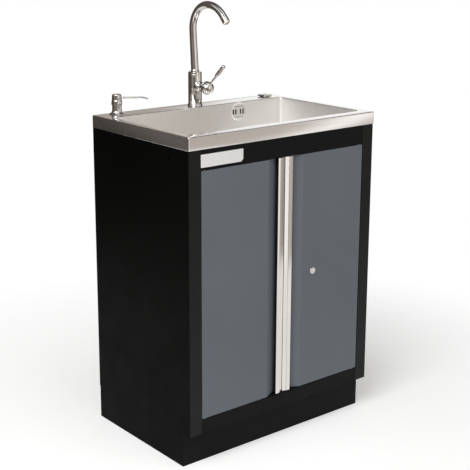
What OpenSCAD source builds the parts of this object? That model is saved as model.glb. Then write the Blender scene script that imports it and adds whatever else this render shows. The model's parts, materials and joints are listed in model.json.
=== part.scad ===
// Sink base cabinet of folded sheet steel with a stainless sink top, mixer tap and soap dispenser.
// Millimetres. Origin at the bottom centre of the whole, +Z up, doors facing -Y.

/* [Cabinet body] */
// Width of the cabinet body over its side panels
body_w = 680; // [640:1:760]
// Depth of the cabinet body from the door faces to the back
body_d = 458; // [450:1:520]
// Height of the sheet metal body above the plinth
body_h = 800; // [760:1:860]
// Thickness of the painted sheet steel
sheet_t = 1.2; // [0.8:0.1:1.6]
// Width of the front stiles beside the doors
stile_w = 40; // [34:1:50]
// Depth of the folded front frame behind the door faces
frame_depth = 33; // [29:1:34]
// Height of the rail above the doors
top_rail_h = 55.6; // [46:0.2:70]
// Height of the rail below the doors
bottom_rail_h = 41.6; // [30:0.2:60]
// Width of the folded flanges round the back and the bottom of the side panels
flange_w = 16; // [12:1:17]

/* [Plinth] */
// Height of the plinth
plinth_h = 100; // [80:1:140]
// Distance that the plinth front stands back from the doors
plinth_setback = 34; // [20:1:60]
// Distance that the plinth rear stands in from the back
plinth_rear_inset = 2; // [0:1:20]
// Width of the folded flanges of the plinth boards
plinth_flange_w = 20; // [14:1:30]
// Radius of the levelling feet
foot_r = 14; // [10:1:16]

/* [Doors] */
// Gap round the doors
door_gap = 2.2; // [2:0.1:4]
// Gap between the two doors
centre_gap = 1.6; // [1.4:0.1:3]
// Thickness of the doors
door_t = 22; // [20:0.5:24]
// Thickness of the door sheets
door_sheet_t = 1; // [0.8:0.1:1.2]
// Distance from the centre line to the fold of the grip recess
fold_x = 63.7; // [55:0.1:75]
// Distance from the centre line to the recess floor
recess_floor_x = 22; // [18:0.5:28]
// Width of one grip profile
grip_w = 26.6; // [22:0.2:32]
// Wall thickness of the grip profile
grip_t = 2; // [1.5:0.1:3]
// Fall of the grip profile from its lip to the centre line
grip_fall = 6; // [3:0.5:8]
// Distance of the hinge axis from the outer edge of the door
hinge_inset_x = 12; // [11:0.5:14]
// Distance of the hinge axis behind the door face
hinge_inset_y = 6; // [5.5:0.5:7]
// Radius of the hinge pins
hinge_pin_r = 3; // [2:0.5:3.5]
// Reach of the hinge pins into the door
hinge_reach = 12; // [8:1:20]

/* [Lock] */
// Distance of the lock from the centre line
lock_x = 107.9; // [95:0.1:140]
// Height of the lock above the floor
lock_z = 493; // [420:1:600]
// Radius of the lock's outer ring
lock_ring_r = 10; // [9:0.5:12]
// Radius of the turning lock core
lock_core_r = 6.5; // [5:0.5:7]
// Number of teeth on the lock pinion
pinion_teeth = 16; // [14:1:18]

/* [Sink top] */
// Height of the sink's folded apron
apron_h = 36; // [30:1:45]
// Sheet thickness of the sink top and basin
sink_t = 1; // [0.8:0.1:1.5]
// Overhang of the sink over the side panels
over_side = 1.5; // [1:0.5:4]
// Overhang of the sink over the doors
over_front = 2.5; // [1:0.5:6]
// Width of the sink rim left and right of the basin
rim_side = 24; // [22:1:40]
// Width of the sink rim in front of the basin
rim_front = 40; // [39:1:55]
// Width of the ledge behind the basin
rim_rear = 74; // [70:1:90]
// Depth of the basin
basin_depth = 200; // [160:1:240]
// Corner radius of the basin
basin_r = 14; // [8:1:30]
// Outer corner radius of the sink top
deck_r = 3; // [2:0.5:6]
// Width of the flange folded in under the apron
lip_w = 13; // [10:1:14]

/* [Waste and overflow] */
// Distance of the waste and overflow to the right of the centre line
waste_x = 144; // [100:1:200]
// Distance from the deck down to the centre of the overflow slots
overflow_drop = 29.5; // [26:0.5:40]
// Width of one overflow slot
slot_w = 6; // [5:0.5:7]
// Height of one overflow slot
slot_h = 18; // [12:0.5:20]
// Radius of the waste hole's flange
waste_flange_r = 40; // [34:1:45]
// Bore radius of the waste
waste_bore_r = 24; // [20:1:26]
// Travel of the waste plug
plug_travel = 8; // [6:1:10]
// Outside radius of the outlet pipe's plain end
outlet_r = 20; // [16:1:22]
// Wall thickness of the plastic drain pieces
pipe_t = 2; // [1.5:0.5:3]
// Length of the outlet pipe's plain end
outlet_end = 30; // [20:1:50]
// Drop from the underside of the basin to the axis of the outlet pipe
outlet_drop = 107; // [102:1:135]
// Radius of the trap body
trap_r = 34; // [32:1:44]
// Outside radius of the overflow pipe
overflow_r = 10; // [8:0.5:11]
// Side length of the square waste knob
knob_side = 33; // [28:1:38]
// Thickness of the square waste knob
knob_t = 5; // [4:0.5:8]

/* [Mixer tap] */
// Distance of the tap axis from the rear edge of the sink
tap_from_rear = 41; // [38:1:44]
// Radius of the tap's base ring
tap_base_r = 22.5; // [22:0.5:28]
// Radius of the tap body
tap_body_r = 20.5; // [19.5:0.5:22]
// Height of the tap body above the deck
tap_body_h = 103.5; // [95:0.5:130]
// Height of the lever barrel's axis above the deck
barrel_h = 60; // [56:1:66]
// Distance from the tap axis to the centre of the lever dome
dome_reach = 60; // [58:1:66]
// Outside radius of the lever dome
dome_r = 20; // [19:0.5:21]
// Length of the lever from the dome centre to its tip
lever_len = 108; // [90:1:125]
// Angle of the lever from the vertical
lever_lean = 48; // [40:1:56]
// Outside radius of the spout tube
spout_r = 10.7; // [9:0.1:11]
// Wall thickness of the spout tube
spout_t = 1.4; // [1:0.1:2]
// Backward lean of the spout's straight neck
neck_lean = 4.2; // [2:0.1:6]
// Length of the spout's straight neck
neck_len = 121; // [100:1:160]
// Outside radius of the neck at its foot
neck_foot_r = 11.6; // [11:0.1:13.5]
// Bend radius of the spout's rising half
rise_r = 74; // [60:1:85]
// Bend radius of the spout's falling half
fall_r = 95; // [80:1:110]
// Turn of the spout's falling half past the top
fall_turn = 53; // [40:1:70]
// Length of the aerator at the spout's end
aerator_len = 21; // [16:1:26]

/* [Soap dispenser] */
// Distance of the dispenser axis from the left edge of the sink
disp_from_side = 66.5; // [62:0.5:100]
// Distance of the dispenser axis from the rear edge of the sink
disp_from_rear = 29; // [29:0.5:34]
// Radius of the dispenser's deck flange
disp_flange_r = 22; // [20:0.5:24]
// Radius of the dispenser's collar
disp_collar_r = 14; // [13:0.1:15]
// Wall of the pump head at its lower edge
head_wall = 1.4; // [1.2:0.1:2]
// Narrowing of the pump head's radius towards its top
head_taper = 2.4; // [1.5:0.1:3]
// Height of the pump head's top above the deck
head_top_h = 58; // [56:1:66]
// Travel of the pump
pump_travel = 12; // [8:1:12]
// Length of the nozzle from the pump axis to its tip
nozzle_len = 90; // [70:1:110]
// Radius of the nozzle
nozzle_r = 2.3; // [2:0.1:3]
// Direction of the nozzle, turned from the right towards the front
nozzle_turn = 34; // [0:1:60]
// Radius of the soap bottle
bottle_r = 23; // [20:0.5:24]
// Height of the soap bottle
bottle_h = 125; // [90:1:140]

/* [Nameplate] */
// Width of the blank plate on the top rail
plate_w = 143; // [100:1:160]
// Height of the blank plate on the top rail
plate_h = 35; // [25:1:36]
// Length of the plate's clipped corner
plate_clip = 7; // [3:1:10]

/* [Hidden] */
$fn = 64;

// Clearances
run_gap = 0.05;      // radial gap of a shaft in its bore, across a joint
slip_gap = 0.3;      // gap between curved faces of two moving bodies
hole_gap = 0.4;      // radial gap of a fixed piece in its hole
pin_gap = 0.1;       // radial gap of a fixed pin in its hole
cut = 1;             // overshoot of a cut past the face that it opens

// Levels and planes
body_z0 = plinth_h;
body_z1 = body_z0 + body_h;
deck_z = body_z1 + apron_h;
deck_under = deck_z - sink_t;
front_y = -(body_d - over_front) / 2;
back_y = front_y + body_d;
deck_front_y = front_y - over_front;
half_w = body_w / 2;
deck_half_w = half_w + over_side;
open_half_w = half_w - stile_w;
door_z0 = body_z0 + bottom_rail_h + door_gap;
door_z1 = body_z1 - top_rail_h - door_gap;
door_h = door_z1 - door_z0;
rail_z = body_z1 - top_rail_h;
sill_z = body_z0 + bottom_rail_h;
frame_y1 = front_y + frame_depth;

// Door outline, measured from the centre line and from the door face
door_in_x = centre_gap / 2;
door_out_x = open_half_w - door_gap;
grip_x = door_in_x + grip_w;
recess_depth = door_t - 2 * door_sheet_t;
fold_len = norm([fold_x - recess_floor_x, recess_depth]);
fold_nx = recess_depth / fold_len;
fold_ny = (fold_x - recess_floor_x) / fold_len;
hinge_x = door_out_x - hinge_inset_x;
hinge_y = front_y + hinge_inset_y;
bush_r = hinge_inset_y - door_sheet_t - 0.5;

// Lock mechanism, depths measured from the door face
ring_t = 1.5;
housing_r = lock_core_r + 3;
housing_depth = 9;
pinion_t = 3;
pinion_v = housing_depth + 1.2;
module_mm = 1;
pinion_r = pinion_teeth * module_mm / 2;
tooth_backlash = 0.3;
pressure_angle = 20;
addendum = 0.85 * module_mm;
dedendum = 1.2 * module_mm;
rod_w = 8;
rod_t = pinion_t;
rod_x = pinion_r + dedendum + rod_w / 2;
rod_hole_gap = 0.5;
rod_end_gap = 0.6;
rack_half = 20;

// Basin
basin_x = deck_half_w - rim_side;
basin_y0 = deck_front_y + rim_front;
basin_y1 = back_y - rim_rear;
basin_w = 2 * basin_x;
basin_d = basin_y1 - basin_y0;
basin_cy = (basin_y0 + basin_y1) / 2;
basin_floor = deck_z - basin_depth;
basin_under = basin_floor - sink_t;

// Waste and overflow
waste_y = basin_cy;
flange_t = 1.5;
sleeve_r = waste_bore_r + 2;
sleeve_len = 14;
waste_nut_h = 8;
nut_rib_h = 2;
waste_wall = 2.5;
waste_h = 48;
waste_z0 = basin_under - waste_h;
guide_r = 4;
guide_h = 8;
guide_z = waste_z0 + 6;
plug_stem_z = guide_z + 2 - plug_travel;
plug_r = waste_bore_r - 1;
plug_t = 5;
plug_rim_r = plug_r + 6;
overflow_z = deck_z - overflow_drop;
slot_offsets = [-19.5, -9.5, 9.5, 19.5];
overflow_w = 66;
overflow_h = 34;
overflow_box_d = 22;
overflow_wall = 1.5;
overflow_step_h = 6;
overflow_step_d = 8;
overflow_pipe_y = basin_y1 + sink_t + overflow_box_d / 2;
spigot_len = 14;
overflow_run_z = basin_under - 24;
overflow_bend = 18;
outlet_z = basin_under - outlet_drop;
outlet_pipe_r = outlet_r + 1;
socket_wall = 3;
socket_len = 14;
trap_tail_len = 16;
trap_inlet_r = waste_bore_r - 6;
trap_nut_h = 14;
trap_nut_r = trap_inlet_r + 7;
trap_neck_r = trap_inlet_r + 5;
trap_neck_h = 12;
trap_nut_z = waste_z0 - trap_tail_len - 2;
trap_roof_z = trap_nut_z - trap_neck_h;
trap_z0 = outlet_z - outlet_r - 12;
cup_h = 30;
cup_bevel = 6;
cup_wall = 3;

// Waste knob
knob_x = deck_half_w - 53;
knob_y = back_y - 31;
knob_lift = 1.4;
spindle_r = 4;
gearbox_r = 15;
gearbox_h = 26;

// Tap
tap_y = back_y - tap_from_rear;
base_ring_h = 7;
shank_r = 14;
shank_len = 52;
tap_nut_r = 21;
tap_nut_h = 9;
inlet_r = 4.5;
inlet_len = 20;
inlet_seat = 10;
inlet_seat_r = inlet_r - 0.5;
inlet_bore_r = inlet_r - 1.5;
inlet_x = 7;
barrel_z = deck_z + barrel_h;
dome_y = tap_y - dome_reach;
dome_t = 2.5;
ball_r = dome_r - dome_t - slip_gap;
barrel_r = 9;
collar_r = 15;
collar_len = 7;
cone_r = 12;
cone_len = 6;
barrel_bore_r = 6;
trunnion_r = 2.5;
dome_cut_angle = 115;
lever_r = 3.2;
lever_grip_r = 6.4;
lever_grip_len = 54;
lever_seat = 10;
lever_swell = 22;
socket_depth = 26;
spout_foot_z = deck_z + tap_body_h - socket_depth;

// Dispenser
disp_x = -deck_half_w + disp_from_side;
disp_y = back_y - disp_from_rear;
collar_h = 28.5;
disp_shank_r = 12;
disp_shank_len = 36;
disp_nut_r = 17;
disp_nut_h = 8;
cylinder_r = 10;
cylinder_bore_r = 8;
cylinder_len = 86;
stem_r = 4;
head_gap = 0.4;
head_r = disp_collar_r + head_gap + head_wall;
head_top_r = head_r - head_taper;
head_low_h = 27.5;
head_roof = 6;
piston_z = deck_z - 10;
piston_t = 5;
nozzle_h = 48;
bottle_t = 1.5;
bottle_neck = 12;
bottle_shoulder = 8;
spring_wire_r = 0.6;
spring_r = 6.6;
spring_turns = 6;

// Colours
c_black = [0.06, 0.06, 0.06];
c_frame = [0.14, 0.14, 0.145];
c_door = [0.40, 0.42, 0.44];
c_steel = [0.72, 0.70, 0.67];
c_chrome = [0.80, 0.80, 0.80];
c_alu = [0.78, 0.76, 0.73];
c_zinc = [0.62, 0.62, 0.60];
c_plastic = [0.90, 0.90, 0.88];
c_dark = [0.10, 0.10, 0.10];
c_brass = [0.78, 0.62, 0.32];

// Rounded rectangle of exact arcs, centred
module round_rect(w, d, r) {
    square([w - 2 * r, d], center = true);
    square([w, d - 2 * r], center = true);
    for (sx = [-1, 1], sy = [-1, 1])
        translate([sx * (w / 2 - r), sy * (d / 2 - r)]) circle(r);
}

// Box between two corners
module block(a, b) {
    translate(a) cube([b[0] - a[0], b[1] - a[1], b[2] - a[2]]);
}

// Both sides of the centre line
module both_sides() {
    children();
    mirror([1, 0, 0]) children();
}

// Turns a drawing in X and Y into the plane of Y and Z
module yz() {
    rotate([90, 0, 90]) children();
}

// Cylinder along Y from y0 to y1
module rod_y(r, x, z, y0, y1) {
    translate([x, y0, z]) rotate([-90, 0, 0]) cylinder(r = r, h = y1 - y0);
}

// Ring of an outer and an inner radius
module ring(r_out, r_in, h) {
    difference() {
        cylinder(r = r_out, h = h);
        translate([0, 0, -1]) cylinder(r = r_in, h = h + 2);
    }
}

// Six-sided nut with a round bore
module hex_nut(r_out, r_in, h) {
    difference() {
        cylinder(r = r_out, h = h, $fn = 6);
        translate([0, 0, -1]) cylinder(r = r_in, h = h + 2);
    }
}

// Cabinet body

link_hole_r = 3.5;
link_hole_y = 141;
link_hole_drop = 33;

// Right-hand side panel: skin, front stile folded round, rear and end flanges
module side_panel() {
    difference() {
        union() {
            block([half_w - sheet_t, front_y, body_z0], [half_w, back_y, body_z1]);
            block([open_half_w, front_y, body_z0], [half_w, front_y + sheet_t, body_z1]);
            block([open_half_w, front_y, body_z0], [open_half_w + sheet_t, frame_y1, body_z1]);
            block([half_w - flange_w, back_y - sheet_t, body_z0], [half_w, back_y, body_z1]);
            for (z = [body_z0, body_z1 - sheet_t])
                block([half_w - flange_w, frame_y1, z], [half_w, back_y, z + sheet_t]);
        }
        for (sy = [-1, 1])
            translate([half_w - sheet_t - 1, front_y + body_d / 2 + sy * link_hole_y, body_z1 - link_hole_drop])
                rotate([0, 90, 0]) cylinder(r = link_hole_r, h = sheet_t + 2);
    }
}

module side_panel_right() {
    color(c_black) side_panel();
}

module side_panel_left() {
    color(c_black) mirror([1, 0, 0]) side_panel();
}

cutout_w = 250;
cutout_h = 150;
cutout_x = 90;
back_flange = 10;

module back_panel() {
    in_y = back_y - sheet_t;
    wall_x = half_w - sheet_t;
    color(c_black) difference() {
        union() {
            block([-wall_x, in_y - sheet_t, body_z0 + sheet_t], [wall_x, in_y, body_z1 - sheet_t]);
            block([-(half_w - flange_w), in_y - back_flange, body_z1 - sheet_t],
                  [half_w - flange_w, in_y, body_z1]);
        }
        translate([cutout_x, in_y + 1, outlet_z]) rotate([90, 0, 0])
            linear_extrude(sheet_t + 2) round_rect(cutout_w, cutout_h, 20);
    }
}

floor_flange = 24;
floor_z = sill_z - sheet_t;

module bottom_panel() {
    wall_x = half_w - sheet_t;
    rear_y = back_y - 2 * sheet_t;
    color(c_black) {
        block([-open_half_w, frame_y1 - 12, floor_z - sheet_t], [open_half_w, frame_y1, floor_z]);
        block([-wall_x, frame_y1, floor_z - sheet_t], [wall_x, rear_y, floor_z]);
        block([-wall_x, frame_y1, floor_z - floor_flange], [-wall_x + sheet_t, rear_y, floor_z]);
        block([wall_x - sheet_t, frame_y1, floor_z - floor_flange], [wall_x, rear_y, floor_z]);
        block([-wall_x, rear_y - sheet_t, floor_z - floor_flange], [wall_x, rear_y, floor_z]);
    }
}

// Slot in a rail for the end of a lock rod
module rod_slot(side, z) {
    translate([lock_x + side * rod_x, front_y + pinion_v + pinion_t / 2, z - 1])
        linear_extrude(sheet_t + 2)
            square([rod_w + 4 * rod_hole_gap, rod_t + 4 * rod_hole_gap], center = true);
}

module rail(z0, z1) {
    block([-open_half_w, front_y, z0], [open_half_w, front_y + sheet_t, z1]);
    for (z = [z0, z1 - sheet_t])
        block([-open_half_w, front_y, z], [open_half_w, frame_y1, z + sheet_t]);
}

module pin_holes(z) {
    both_sides() translate([hinge_x, hinge_y, z - cut])
        cylinder(r = hinge_pin_r + pin_gap, h = sheet_t + 2 * cut);
}

module top_rail() {
    color(c_frame) difference() {
        rail(rail_z, body_z1);
        pin_holes(rail_z);
        rod_slot(1, rail_z);
    }
}

module bottom_rail() {
    color(c_frame) difference() {
        rail(body_z0, sill_z);
        pin_holes(sill_z - sheet_t);
        rod_slot(-1, sill_z - sheet_t);
    }
}

// Plinth

plinth_y0 = front_y + plinth_setback;
plinth_y1 = back_y - plinth_rear_inset;
bracket_pad = 13;
bracket_t = 2;
bracket_h = 30;
bracket_z = 46;
foot_h = 9;
foot_stem_r = 4;
foot_nut_h = 6;

// Board along X, folded inwards at the top and the bottom; dir is the way that its flanges point
module plinth_board(y, dir) {
    y_in = y + dir * sheet_t;
    y_flange = y + dir * plinth_flange_w;
    block([-half_w, min(y, y_in), 0], [half_w, max(y, y_in), plinth_h]);
    for (z = [0, plinth_h - sheet_t])
        block([-half_w + sheet_t, min(y, y_flange), z], [half_w - sheet_t, max(y, y_flange), z + sheet_t]);
}

module plinth_front() {
    color(c_frame) plinth_board(plinth_y0, 1);
}

module plinth_rear() {
    color(c_black) plinth_board(plinth_y1, -1);
}

module plinth_sides() {
    color(c_black) both_sides() {
        block([half_w - sheet_t, plinth_y0 + sheet_t, 0], [half_w, plinth_y1 - sheet_t, plinth_h]);
        for (z = [0, plinth_h - sheet_t])
            block([half_w - plinth_flange_w, plinth_y0 + plinth_flange_w, z],
                  [half_w, plinth_y1 - plinth_flange_w, z + sheet_t]);
    }
}

// Places its children in the four corners of the plinth, drawn for the corner at +X and -Y
module plinth_corners() {
    both_sides() {
        translate([0, plinth_y0, 0]) children();
        translate([0, plinth_y1, 0]) mirror([0, 1, 0]) children();
    }
}

foot_x = half_w - plinth_flange_w - foot_r - 2;
foot_y = plinth_flange_w + foot_r + 2;

module plinth_brackets() {
    x0 = foot_x - bracket_pad;
    x1 = half_w - sheet_t;
    y1 = foot_y + bracket_pad;
    z1 = bracket_z + bracket_h;
    color(c_zinc) plinth_corners() difference() {
        union() {
            block([x0, sheet_t, bracket_z], [x1, y1, bracket_z + bracket_t]);
            block([x0, sheet_t, bracket_z], [x1, sheet_t + bracket_t, z1]);
            block([x1 - bracket_t, sheet_t, bracket_z], [x1, y1, z1]);
        }
        translate([foot_x, foot_y, bracket_z - 1]) cylinder(r = foot_stem_r, h = bracket_t + 2);
    }
}

module levelling_feet() {
    color(c_dark) plinth_corners() translate([foot_x, foot_y, 0]) {
        cylinder(r1 = foot_r, r2 = foot_r - 2, h = foot_h, $fn = 32);
        cylinder(r = foot_stem_r, h = bracket_z + bracket_h);
        translate([0, 0, bracket_z - foot_nut_h]) cylinder(r = foot_stem_r * 1.9, h = foot_nut_h, $fn = 6);
    }
}

// Hinges and catches

pin_head_r = hinge_inset_y - sheet_t - slip_gap;
pin_head_h = 2.5;
thrust_h = door_gap - 0.1;

module hinge_pins() {
    color(c_zinc) both_sides() translate([hinge_x, hinge_y, 0]) {
        translate([0, 0, door_z1 - hinge_reach]) cylinder(r = hinge_pin_r, h = hinge_reach + door_gap + sheet_t);
        translate([0, 0, rail_z + sheet_t]) cylinder(r = pin_head_r, h = pin_head_h);
        translate([0, 0, sill_z - sheet_t]) cylinder(r = hinge_pin_r, h = hinge_reach + door_gap + sheet_t);
        translate([0, 0, sill_z - sheet_t - pin_head_h]) cylinder(r = pin_head_r, h = pin_head_h);
        translate([0, 0, sill_z]) cylinder(r = pin_head_r, h = thrust_h);
    }
}

catch_x = 52;
catch_w = 44;
catch_h = 13;
catch_gap = 0.3;
catch_border = 4;
catch_dent = 0.5;

module magnet_catches() {
    y0 = front_y + door_t + catch_gap;
    color(c_dark) both_sides() difference() {
        block([catch_x - catch_w / 2, y0, rail_z - catch_h], [catch_x + catch_w / 2, frame_y1, rail_z]);
        block([catch_x - catch_w / 2 + catch_border, y0 - cut, rail_z - catch_h + catch_border],
              [catch_x + catch_w / 2 - catch_border, y0 + catch_dent, rail_z - catch_border]);
    }
}

module blank_nameplate() {
    x0 = -open_half_w;
    z1 = rail_z + 7 + plate_h;
    outline = [[0, 0], [plate_w, 0], [plate_w, plate_clip - plate_h], [plate_w - plate_clip, -plate_h], [0, -plate_h]];
    color("white") translate([x0, front_y, z1]) rotate([90, 0, 0]) linear_extrude(0.8) polygon(outline);
}

// Doors, drawn for the right-hand side; depth v counts back from the door face

// Depth of a sheet's inner face where the recess is folded, as a distance from the centre line
function fold_inner_x(v, t) = fold_x + (t - fold_ny * v) / fold_nx;

module door_plan(h, z) {
    translate([0, front_y, z]) linear_extrude(h) children();
}

module door_skin() {
    t = door_sheet_t;
    door_plan(door_h, door_z0) polygon([
        [door_out_x, 0], [fold_x, 0], [recess_floor_x, recess_depth], [door_in_x, recess_depth],
        [door_in_x, recess_depth + t], [fold_inner_x(recess_depth + t, t), recess_depth + t],
        [fold_inner_x(t, t), t], [door_out_x - t, t],
        [door_out_x - t, recess_depth + t], [door_out_x, recess_depth + t]
    ]);
}

// Openings in the end flanges of the door for the lock rods
module rod_openings(h) {
    for (side = [-1, 1])
        translate([lock_x + side * rod_x, pinion_v + pinion_t / 2])
            square([rod_w + 2 * rod_hole_gap, rod_t + 2 * rod_hole_gap], center = true);
}

module door_inner(locked) {
    t = door_sheet_t;
    difference() {
        union() {
            door_plan(door_h, door_z0)
                translate([door_in_x, door_t - t]) square([door_out_x - door_in_x, t]);
            for (z = [door_z0, door_z1 - t])
                door_plan(t, z) polygon([
                    [door_out_x - t, t], [fold_inner_x(t, t), t],
                    [fold_inner_x(recess_depth + t, t), recess_depth + t], [door_out_x - t, recess_depth + t]
                ]);
        }
        for (z = [door_z0 - 1, door_z1 - t - 1])
            translate([hinge_x, hinge_y, z]) cylinder(r = bush_r, h = t + 2);
        if (locked)
            for (z = [door_z0 - 1, door_z1 - t - 1]) door_plan(t + 2, z) rod_openings();
    }
}

// Depth of the grip's face at distance u from its edge at the centre line
function grip_v(u) = grip_fall * pow(1 - u / grip_w, 1.5);

grip_steps = 10;
grip_foot = 13;
bead_r = 1.5;

module door_grip() {
    floor_v = recess_depth;
    face = [for (i = [0 : grip_steps]) let (u = grip_w * i / grip_steps) [door_in_x + u, grip_v(u)]];
    under = [for (i = [grip_steps : -1 : 1]) let (u = grip_w * i / grip_steps)
        [door_in_x + max(u, grip_t), grip_v(u) + grip_t]];
    outline = concat(face, under, [
        [door_in_x + grip_t, floor_v - grip_t], [door_in_x + grip_foot, floor_v - grip_t],
        [door_in_x + grip_foot, floor_v], [door_in_x, floor_v]
    ]);
    door_plan(door_h, door_z0) difference() {
        union() {
            polygon(outline);
            translate([grip_x - bead_r, bead_r]) circle(bead_r, $fn = 24);
        }
        translate([grip_x - 6.5, 0]) circle(0.6, $fn = 16);
    }
}

module door_bushes() {
    for (z = [door_z0, door_z1 - hinge_reach - 1])
        translate([hinge_x, hinge_y, z]) ring(bush_r, hinge_pin_r + run_gap, hinge_reach + 1);
}

module left_door_skin() {
    color(c_door) mirror([1, 0, 0]) door_skin();
}

module left_door_inner() {
    color(c_door) mirror([1, 0, 0]) door_inner(false);
}

module left_door_grip() {
    color(c_alu) mirror([1, 0, 0]) door_grip();
}

module left_door_bushes() {
    color(c_plastic) mirror([1, 0, 0]) door_bushes();
}

module right_door_skin() {
    color(c_door) difference() {
        door_skin();
        rod_y(housing_r, lock_x, lock_z, front_y - 1, front_y + door_sheet_t + 1);
    }
}

module right_door_inner() {
    color(c_door) door_inner(true);
}

module right_door_grip() {
    color(c_alu) door_grip();
}

module right_door_bushes() {
    color(c_plastic) door_bushes();
}

// Lock

module lock_housing() {
    color(c_chrome) difference() {
        union() {
            rod_y(lock_ring_r, lock_x, lock_z, front_y - ring_t, front_y);
            rod_y(housing_r, lock_x, lock_z, front_y, front_y + housing_depth);
        }
        rod_y(lock_core_r + run_gap, lock_x, lock_z, front_y - ring_t - 1, front_y + housing_depth + 1);
    }
}

core_square = 5;

module lock_core() {
    color(c_chrome) translate([lock_x, front_y, lock_z]) rotate([-90, 0, 0]) difference() {
        union() {
            translate([0, 0, -ring_t]) cylinder(r = lock_core_r, h = ring_t + pinion_v);
            translate([0, 0, pinion_v]) cylinder(r = core_square / 2, h = pinion_t + 1.5);
        }
        translate([0, 0, -ring_t + 1.5]) cube([1.6, 7, 4], center = true);
    }
}

// Involute of the pinion's base circle at roll angle a
function involute(rb, a) = [rb * (cos(a) + a * PI / 180 * sin(a)), rb * (sin(a) - a * PI / 180 * cos(a))];
function inv_angle(rb, r) = sqrt(pow(r / rb, 2) - 1) * 180 / PI;
function spin(p, a) = [p[0] * cos(a) - p[1] * sin(a), p[0] * sin(a) + p[1] * cos(a)];

// Flank points of one tooth, from its root to its tip, on the side of positive angles
function flank(rb, r0, r1, half, steps) = [
    for (i = [0 : steps])
        let (r = r0 + (r1 - r0) * i / steps, a = inv_angle(rb, r), p = involute(rb, a),
             at_pitch = inv_angle(rb, pinion_r), q = involute(rb, at_pitch), q_dir = atan2(q[1], q[0]))
        spin([p[0], -p[1]], half + q_dir)
];

module pinion_shape() {
    rb = pinion_r * cos(pressure_angle);
    half = (PI * module_mm / 2 - tooth_backlash) / 2 / pinion_r * 180 / PI;
    r_root = pinion_r - dedendum;
    up = flank(rb, rb + 0.01, pinion_r + addendum, half, 4);
    down = [for (i = [len(up) - 1 : -1 : 0]) [up[i][0], -up[i][1]]];
    foot_angle = atan2(up[0][1], up[0][0]);
    tooth = concat([[r_root * cos(foot_angle), -r_root * sin(foot_angle)]],
                   [for (i = [len(down) - 1 : -1 : 0]) down[i]],
                   [for (i = [len(up) - 1 : -1 : 0]) up[i]],
                   [[r_root * cos(foot_angle), r_root * sin(foot_angle)]]);
    polygon([for (k = [0 : pinion_teeth - 1], p = tooth) spin(p, k * 360 / pinion_teeth)]);
}

module lock_pinion() {
    color(c_zinc) translate([lock_x, front_y + pinion_v, lock_z]) rotate([-90, 0, 0])
        linear_extrude(pinion_t) difference() {
            pinion_shape();
            circle(core_square / 2);
        }
}

// Rack seen from the front, teeth towards -X, pitch line at x = 0, a tooth space at height 0
module rack_shape(z_low, z_high) {
    pitch = PI * module_mm;
    half = (pitch / 2 - tooth_backlash) / 2;
    tip = half - addendum * tan(pressure_angle);
    foot = half + dedendum * tan(pressure_angle);
    n = floor(rack_half / pitch);
    translate([dedendum, z_low]) square([rod_w, z_high - z_low]);
    for (i = [-n : n])
        translate([0, (i + 0.5) * pitch])
            polygon([[-addendum, -tip], [dedendum, -foot], [dedendum + 1, -foot], [dedendum + 1, foot],
                     [dedendum, foot], [-addendum, tip]]);
}

// Lifts a drawing in X and Z to its place behind the door face
module rod_plane() {
    translate([0, front_y + pinion_v + pinion_t, 0]) rotate([90, 0, 0]) linear_extrude(rod_t) children();
}

module upper_lock_rod() {
    color(c_zinc) rod_plane() translate([lock_x + pinion_r, lock_z])
        rack_shape(-rack_half - 6, door_z1 - rod_end_gap - lock_z);
}

module lower_lock_rod() {
    color(c_zinc) rod_plane() translate([lock_x - pinion_r, lock_z]) mirror([1, 0, 0])
        rack_shape(door_z0 + rod_end_gap - lock_z, rack_half + 6);
}

// Sink

module deck_outline(inset) {
    translate([0, (deck_front_y + back_y) / 2])
        round_rect(2 * (deck_half_w - inset), back_y - deck_front_y - 2 * inset, max(deck_r - inset, 0.5));
}

module basin_outline(grow) {
    translate([0, basin_cy]) round_rect(basin_w + 2 * grow, basin_d + 2 * grow, basin_r + grow);
}

disp_hole_r = disp_shank_r + hole_gap;
knob_hole_r = spindle_r + 1;

module sink_deck() {
    color(c_steel) difference() {
        union() {
            translate([0, 0, deck_under]) linear_extrude(sink_t) difference() {
                deck_outline(0);
                basin_outline(0);
            }
            translate([0, 0, body_z1]) linear_extrude(apron_h) difference() {
                deck_outline(0);
                deck_outline(sink_t);
            }
            translate([0, 0, body_z1]) linear_extrude(sink_t) difference() {
                deck_outline(0);
                deck_outline(lip_w);
            }
        }
        translate([0, tap_y, deck_under - 1]) cylinder(r = shank_r + hole_gap, h = sink_t + 2);
        translate([disp_x, disp_y, deck_under - 1]) cylinder(r = disp_hole_r, h = sink_t + 2);
        translate([knob_x, knob_y, deck_under - 1]) cylinder(r = knob_hole_r, h = sink_t + 2);
    }
}

module slot_shape() {
    square([slot_w, slot_h - slot_w], center = true);
    for (s = [-1, 1]) translate([0, s * (slot_h - slot_w) / 2]) circle(slot_w / 2);
}

module sink_basin() {
    color(c_steel) difference() {
        union() {
            translate([0, 0, basin_under]) linear_extrude(basin_depth) difference() {
                basin_outline(sink_t);
                basin_outline(0);
            }
            translate([0, 0, basin_under]) linear_extrude(sink_t) basin_outline(sink_t);
        }
        translate([waste_x, waste_y, basin_under - 1]) cylinder(r = sleeve_r, h = sink_t + 2);
        for (dx = slot_offsets)
            translate([waste_x + dx, basin_y1 + sink_t + 1, overflow_z]) rotate([90, 0, 0])
                linear_extrude(sink_t + 2) slot_shape();
    }
}

// Overflow and waste

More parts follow.
